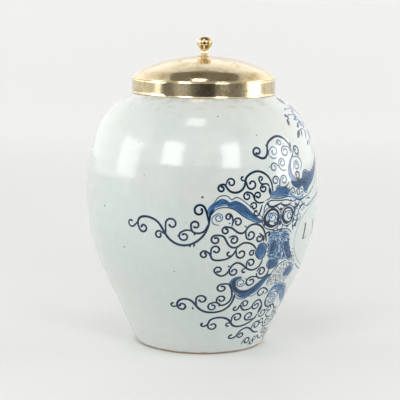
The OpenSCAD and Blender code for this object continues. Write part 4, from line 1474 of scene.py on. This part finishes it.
def paint_motif(painting, motif, side):
    """Lays one motif's washes, rings, dabs, leaves and lines on one side."""
    for depth, left, right in motif.get("washes", []):
        painting.wash(left, right, depth, side)
    for angle, run, radius, width, depth in motif.get("rings", []):
        painting.ring((angle, run), radius, width, depth, side)
    for angle, run, radius, depth, squash in motif.get("dabs", []):
        painting.dab((angle, run), radius, depth, side, squash=squash)
    for width, depth, items in motif.get("leaves", []):
        painting.stroke(items, width, depth, side, swell_leaf)
    for width, depth, items in motif.get("lines", []):
        painting.stroke(items, width, depth, side)


SIDES = ((1, "left"), (-1, "right"))
SCROLL_WEIGHT = 1.15        # how heavily the scrolls are drawn


def paint_flower(painting, angle, run, radius, petals, side=1):
    """A flower of pressed petals round a dotted eye."""
    degree = painting.wall.degree(run)
    for k in range(petals):
        swing = 2 * math.pi * (k + 0.3) / petals
        near, far = 0.3 * radius, radius
        start = (angle + near * math.cos(swing) / degree, run + near * math.sin(swing))
        tip = (angle + far * math.cos(swing) / degree, run + far * math.sin(swing))
        painting.stroke([start, tip], radius * 0.8, 0.5 + 0.08 * (k % 2), side, swell_leaf,
                        lift=painting.paint.wash_lift)
        painting.stroke([start, tip], 0.6, 0.85, side)
    painting.ring((angle, run), radius * 0.27, 0.7, 0.9, side)
    painting.dab((angle, run), radius * 0.14, 0.95, side)


class JAR_OT_scrolls(bpy.types.Operator):
    """Brushes the scrolls, both the side they are set out on and its mirror image"""
    bl_idname = "jar.scrolls"
    bl_label = "Scrolls"

    def execute(self, context):
        for side, hand in SIDES:
            for motif, strokes in SCROLLS.items():
                painting = Painting(context)
                for width, items in strokes:
                    painting.stroke(items, width * SCROLL_WEIGHT, side=side)
                painting.dry(motif + "_" + hand)
        return {"FINISHED"}


class JAR_OT_ornament(bpy.types.Operator):
    """Paints the arch, the crescents, the roundels, the shell, the leaves and the panel's border"""
    bl_idname = "jar.ornament"
    bl_label = "Ornament"

    def execute(self, context):
        for side, hand in SIDES:
            for name, motif in MOTIFS.items():
                painting = Painting(context)
                paint_motif(painting, motif, side)
                for seed, (outline, spacing, width, depth) in enumerate(motif.get("scribbles", [])):
                    painting.scribble(outline, spacing, width, depth, side, seed)
                if name == "posy":
                    for angle, run, radius, petals in FLOWERS:
                        paint_flower(painting, angle, run, radius, petals, side)
                painting.dry(name + "_" + hand)
        return {"FINISHED"}


class JAR_OT_centre(bpy.types.Operator):
    """Paints what stands on the front's middle line: the numeral, the shells and the tall flower"""
    bl_idname = "jar.centre"
    bl_label = "Middle of the front"

    def execute(self, context):
        middle = math.degrees(context.scene.jar_paint.side_line)
        numeral = Painting(context)
        self.letters(numeral, middle)
        numeral.dry("numeral", manganese_lettering)
        crest = Painting(context)
        self.shell(crest, (middle, 167), 17, 15, 165)
        self.basket(crest, middle)
        crest.dry("crest_shell")
        pendant = Painting(context)
        self.shell(pendant, (middle, 75), 22, 197, 343)
        self.drop(pendant, middle)
        pendant.dry("pendant_shell")
        flower = Painting(context)
        paint_flower(flower, middle, 233, 11, 9)
        flower.dry("tall_flower")
        return {"FINISHED"}

    def letters(self, painting, middle):
        """The numeral in broad and fine strokes, with a small foot at each free end of a straight one."""
        height = NUMERAL_HEIGHT
        total = sum(LETTERS[c][0] * height for c in NUMERAL) + LETTER_GAP * (len(NUMERAL) - 1)
        degree = painting.wall.degree(NUMERAL_RUN + height / 2)
        pen = -total / 2
        for character in NUMERAL:
            wide, strokes = LETTERS[character]
            for width, feet, places in strokes:
                path = [(middle + (pen + x * height) / degree, NUMERAL_RUN + y * height) for x, y in places]
                painting.stroke(path, width, 0.97, swell=swell_pen)
                for x, y in (path[0], path[-1])[:feet]:
                    serif = 2.0 / degree
                    painting.stroke([(x - serif, y), (x + serif, y)], 0.8, 0.95, swell=swell_pen)
            pen += wide * height + LETTER_GAP

    def shell(self, painting, foot, radius, start, end):
        """A scallop shell: ribs that fan out from its foot, a wash between each two, and a scalloped edge."""
        degree = painting.wall.degree(foot[1])
        ribs = np.radians(np.linspace(start, end, 10))

        def at(swing, far):
            return (foot[0] + far * math.cos(swing) / degree, foot[1] + far * math.sin(swing))

        for first, second in zip(ribs[:-1], ribs[1:]):
            bulge = (first + second) / 2
            painting.stroke([at(bulge, radius * 0.15), at(bulge, radius * 0.98)], radius * 0.2, 0.5, 1, swell_leaf,
                            lift=painting.paint.wash_lift)
            painting.stroke([at(first, radius * 0.93), at(bulge, radius * 1.07), at(second, radius * 0.93)], 0.9, 0.9,
                            swell=swell_pen)
        for rib in ribs:
            painting.stroke([at(rib, radius * 0.12), at(rib, radius * 0.93)], 0.7, 0.85)
        painting.ring(foot, radius * 0.13, 1.2, 0.95)

    def basket(self, painting, middle):
        """The basket of the bouquet, over the crest shell: a bowed wash with two rims and slanting canes."""
        reach = 15
        rim = [(middle - reach, 196), (middle - 7, 200.5), (middle, 202), (middle + 7, 200.5),
               (middle + reach, 196)]
        foot = [(middle - reach + 3, 189.5), (middle - 6, 187.5), (middle, 187), (middle + 6, 187.5),
                (middle + reach - 3, 189.5)]
        painting.wash(rim, foot, 0.42)
        painting.stroke(rim, 1.3, 0.9)
        painting.stroke(foot, 1.1, 0.9)
        for k in range(9):
            low, high = middle - 10 + 2.5 * k, middle - 12.5 + 3.1 * k
            painting.stroke([(low, 188.2), (high, 198.6)], 0.6, 0.8)

    def drop(self, painting, middle):
        """The pendant under the panel: three leaves and a row of beads that grow smaller."""
        for lean in (-4.5, 0, 4.5):
            painting.stroke([(middle, 52), (middle + lean, 45), (middle + 1.4 * lean, 36)], 5, 0.62, 1, swell_leaf,
                            lift=painting.paint.wash_lift)
            painting.stroke([(middle, 52), (middle + lean, 45), (middle + 1.4 * lean, 36)], 0.8, 0.9)
        for k in range(5):
            painting.dab((middle, 30 - 4.6 * k), 2.0 - 0.25 * k, 0.8)


class JAR_OT_specks(bpy.types.Operator):
    """Drops the larger specks of iron on the glaze"""
    bl_idname = "jar.specks"
    bl_label = "Kiln specks"

    def execute(self, context):
        painting = Painting(context)
        for angle, run, radius in SPECKS:
            painting.dab((angle, run), radius)
        painting.dry("kiln_specks", kiln_iron)
        return {"FINISHED"}


# ---------------------------------------------------------------- floor, room, windows and camera

CAMERA_ANGLE = -97.0        # where the camera stands round the jar
CAMERA_AWAY = 1.2391        # metres from the jar's axis
CAMERA_HEIGHT = 0.3299
CAMERA_PITCH = 8.86         # degrees down
CAMERA_ROLL = 1.017         # degrees that the jar's top leans to the right
CAMERA_ASIDE = 0.00168      # metres to the left of the axis that the camera is aimed
LENS = 116.55               # millimetres, on a sensor 36 mm wide

# windows: angle from the camera and height above the horizon of the middle, half width and half height, all in
# degrees, and strength
WINDOWS = {
    "far_left": (-77, 16, 12.5, 11.5, 0.5),
    "left": (-30, 25, 9.4, 9.5, 0.9),
    "right": (28.8, 23.6, 8.7, 10.2, 0.9),
    "far_right": (88, 11, 13, 11, 0.6),
    "high": (-14, 67, 6.5, 6, 0.8),
}
WINDOW_AWAY = 1.1           # metres from the jar
WINDOW_AIM = 0.18           # height on the jar that the windows are set out from

# the room as it is seen level from the jar, by the angle from the camera
ROOM = [(-180, 0.8), (-135, 1.6), (-95, 1.8), (-76, 1.5), (-73, 1.0), (-70, 0.18), (-58, 0.2), (-50, 0.27),
        (-45, 0.46), (-30, 0.52), (-24, 0.37), (-18, 0.18), (-8, 0.12), (-3, 0.07), (17, 0.055), (21, 0.27),
        (26, 0.41), (38, 0.38), (43, 0.23), (58, 0.23), (64, 0.38), (70, 0.5), (73, 1.3), (95, 1.9), (135, 1.5),
        (180, 0.8)]

# the dark opening in the ceiling, in shares of a direction towards the camera and to the side: it starts at the
# first, ends at the last, and narrows backwards as the square of the side share
OPENING_BACK, OPENING_FRONT, OPENING_BOW = -0.69, 0.55, 2.2
BACK_SOFT, FRONT_SOFT = 0.015, 0.03                     # half the width over which each end fades
LINE_BEHIND, LINE_HALF, LINE_DARK = 0.055, 0.012, 0.35  # a thin line behind it: how far, half its width, how dark

# the floor, in metres towards the camera, to each side and away, and the stretch over which its front end fades
FLOOR_FRONT, FLOOR_SIDE, FLOOR_BACK, FLOOR_FADE = 0.62, 120.0, 300.0, 0.2
# its painted shade runs from a darker white in front of the jar to lighter ones behind it, with the near one at a
# share, and a painted glow lights it a little further back
WHITE_FROM, WHITE_TO, WHITE_NEAR, GLOW_FROM, GLOW = -0.35, 1.9, 0.27, 0.3, 0.12


def way_from_jar(angle, height):
    """A level-and-up direction from the jar, by the angle from the camera and the height in degrees."""
    swing, rise = math.radians(CAMERA_ANGLE + angle), math.radians(height)
    return Vector((math.sin(swing) * math.cos(rise), -math.cos(swing) * math.cos(rise), math.sin(rise)))


class JAR_OT_floor(bpy.types.Operator):
    """Lays the pale floor, which fades out a little in front of the jar and runs far back. Its white carries painted
    shade, darker in front of the jar and lighter behind it, and a faint painted glow further back
    """
    bl_idname = "jar.floor"
    bl_label = "Floor"

    def execute(self, context):
        stage = context.scene.jar_stage
        to_camera, right = way_from_jar(0, 0), way_from_jar(90, 0)
        corners = [to_camera * FLOOR_FRONT - right * FLOOR_SIDE, to_camera * FLOOR_FRONT + right * FLOOR_SIDE,
                   -to_camera * FLOOR_BACK + right * FLOOR_SIDE, -to_camera * FLOOR_BACK - right * FLOOR_SIDE]
        mesh = bpy.data.meshes.new("floor")
        mesh.from_pydata(corners, [], [(0, 1, 2, 3)])
        floor = bpy.data.objects.new("floor", mesh)
        context.scene.collection.objects.link(floor)
        material, tree, shader = new_material("white_laminate")
        place = add(tree, "TexCoord").outputs["Object"]
        depth = add(tree, "VectorMath", {0: place, 1: -to_camera}, operation="DOT_PRODUCT")
        share = add(tree, "MapRange", {0: depth.outputs["Value"], 1: WHITE_FROM, 2: WHITE_TO})
        # painted shade on the floor, darker in front of the jar and lighter behind it, and a painted glow further
        # back
        floor_shade_stops = [(0.0, rgb(stage.floor_front)), (WHITE_NEAR, rgb(stage.floor_near)), (1.0, rgb(stage.floor_far))]
        white = add(tree, "ValToRGB", {0: share}, stops=floor_shade_stops)
        glow = add(tree, "MapRange", {0: depth.outputs["Value"], 1: GLOW_FROM, 2: WHITE_TO, 4: GLOW})
        wire(tree, shader, {"Base Color": white, "Emission Strength": glow, "Roughness": 0.6})
        fading = add(tree, "MapRange", {0: depth.outputs["Value"], 1: -FLOOR_FRONT, 2: -FLOOR_FRONT + FLOOR_FADE})
        clear = add(tree, "BsdfTransparent")
        edge = add(tree, "MixShader", {0: fading, 1: clear, 2: shader})
        output = next(node for node in tree.nodes if node.type == "OUTPUT_MATERIAL")
        wire(tree, output, {"Surface": edge})
        mesh.materials.append(material)
        return {"FINISHED"}


class JAR_OT_room(bpy.types.Operator):
    """Lights the jar with a white room that is darker in front, and with soft windows"""
    bl_idname = "jar.room"
    bl_label = "Room and windows"

    def execute(self, context):
        stage = context.scene.jar_stage
        world = bpy.data.worlds.new("white_room")
        context.scene.world = world
        world.use_nodes = True
        tree = world.node_tree
        tree.nodes.clear()
        way = add(tree, "TexCoord").outputs["Generated"]
        ahead = add(tree, "VectorMath", {0: way, 1: way_from_jar(0, 0)}, operation="DOT_PRODUCT")
        aside = add(tree, "VectorMath", {0: way, 1: way_from_jar(90, 0)}, operation="DOT_PRODUCT")
        turn = add(tree, "Math", {0: aside.outputs["Value"], 1: ahead.outputs["Value"]}, operation="ARCTAN2")
        share = add(tree, "MapRange", {0: turn, 1: -math.pi, 2: math.pi})
        stops = [((angle + 180) / 360, value) for angle, value in ROOM]
        level = add(tree, "ValToRGB", {0: share}, stops=stops)
        rise = add(tree, "SeparateXYZ", {0: way}).outputs["Z"]
        above = add(tree, "MapRange", {0: rise, 1: math.sin(math.radians(15)), 2: math.sin(math.radians(24))})
        side = add(tree, "Math", {0: aside.outputs["Value"], 1: aside.outputs["Value"]}, operation="MULTIPLY")
        bowed = add(tree, "Math", {0: side, 1: -OPENING_BOW, 2: ahead.outputs["Value"]},
                    operation="MULTIPLY_ADD")
        inside = add(tree, "MapRange", {0: bowed, 1: OPENING_BACK - BACK_SOFT, 2: OPENING_BACK + BACK_SOFT})
        line = add(tree, "Math", {0: bowed, 1: OPENING_BACK - LINE_BEHIND, 2: LINE_HALF}, operation="COMPARE")
        outside = add(tree, "MapRange", {0: ahead.outputs["Value"], 1: OPENING_FRONT + FRONT_SOFT,
                                                   2: OPENING_FRONT - FRONT_SOFT})
        high = add(tree, "MapRange", {0: rise, 1: 0.45, 2: 0.55})
        lined = add(tree, "Math", {0: line, 1: LINE_DARK, 2: inside}, operation="MULTIPLY_ADD")
        opening = add(tree, "Math", {0: lined, 1: outside}, operation="MULTIPLY")
        dark = add(tree, "Math", {0: opening, 1: high}, operation="MULTIPLY")
        bright = add(tree, "MapRange", {0: rise, 1: 0.42, 2: 0.8, 3: 1.35, 4: 0.74})
        ceiling = add(tree, "CombineColor", {k: bright for k in range(3)})
        sky = mix(tree, dark, ceiling, (0.22, 0.21, 0.2))
        seen = mix(tree, above, level, sky)
        room = add(tree, "Background", {"Color": seen, "Strength": stage.room_light})
        plain = add(tree, "Background", {"Color": (*stage.backdrop, 1)})
        looked_at = add(tree, "LightPath").outputs["Is Camera Ray"]
        both = add(tree, "MixShader", {0: looked_at, 1: room, 2: plain})
        add(tree, "OutputWorld", {0: both})

        for name, (angle, height, half_width, half_height, strength) in WINDOWS.items():
            light = bpy.data.lights.new("window_" + name, "AREA")
            light.shape = "RECTANGLE"
            light.size = 2 * WINDOW_AWAY * math.tan(math.radians(half_width))
            light.size_y = 2 * WINDOW_AWAY * math.tan(math.radians(half_height))
            light.energy = math.pi * light.size * light.size_y * stage.window_light * strength
            lamp = bpy.data.objects.new("window_" + name, light)
            way_out = way_from_jar(angle, height)
            lamp.location = way_out * WINDOW_AWAY + Vector((0, 0, WINDOW_AIM))
            lamp.rotation_euler = way_out.to_track_quat("Z", "Y").to_euler()
            lamp.visible_camera = False
            context.scene.collection.objects.link(lamp)
        return {"FINISHED"}


class JAR_OT_camera(bpy.types.Operator):
    """Stands the camera to the left of the painted front, looking a little down"""
    bl_idname = "jar.camera"
    bl_label = "Camera"

    def execute(self, context):
        camera = bpy.data.cameras.new("camera")
        camera.lens = LENS
        camera.sensor_width = 36
        camera.clip_start = 0.05
        camera.clip_end = 1000
        seat = bpy.data.objects.new("camera", camera)
        seat.location = way_from_jar(0, 0) * CAMERA_AWAY + Vector((0, 0, CAMERA_HEIGHT))
        drop = CAMERA_AWAY * math.tan(math.radians(CAMERA_PITCH))
        aim = Vector((0, 0, CAMERA_HEIGHT - drop)) - way_from_jar(90, 0) * CAMERA_ASIDE
        look = (aim - seat.location).to_track_quat("-Z", "Y")
        roll = Quaternion((0, 0, 1), math.radians(CAMERA_ROLL))
        seat.rotation_euler = (look @ roll).to_euler()
        context.scene.collection.objects.link(seat)
        context.scene.camera = seat
        context.scene.view_settings.view_transform = "Standard"
        return {"FINISHED"}


# ---------------------------------------------------------------- the sidebar and the making

MAKERS = (JAR_OT_camera, JAR_OT_floor, JAR_OT_room, JAR_OT_pot, JAR_OT_dome, JAR_OT_band, JAR_OT_solder,
          JAR_OT_knob, JAR_OT_fixing, JAR_OT_scrolls, JAR_OT_ornament, JAR_OT_centre, JAR_OT_specks)


class JAR_PT_sidebar(bpy.types.Panel):
    """Lists the pieces of the jar and the sizes they are made to"""
    bl_idname = "JAR_PT_sidebar"
    bl_label = "Apothecary jar"
    bl_space_type = "VIEW_3D"
    bl_region_type = "UI"
    bl_category = "Jar"

    def draw(self, context):
        column = self.layout.column()
        for maker in MAKERS:
            column.operator(maker.bl_idname)
        for key, group in GROUPS.items():
            box = self.layout.box()
            values = getattr(context.scene, key)
            for name in group.__annotations__:
                box.prop(values, name)


def register():
    for kind in (*GROUPS.values(), *MAKERS, JAR_PT_sidebar):
        bpy.utils.register_class(kind)
    for key, group in GROUPS.items():
        setattr(bpy.types.Scene, key, bpy.props.PointerProperty(type=group))


def unregister():
    for key in GROUPS:
        delattr(bpy.types.Scene, key)
    for kind in reversed((*GROUPS.values(), *MAKERS, JAR_PT_sidebar)):
        bpy.utils.unregister_class(kind)


def main():
    register()
    for maker in MAKERS:
        getattr(bpy.ops.jar, maker.bl_idname.split(".")[1])()


if __name__ == "__main__":
    main()
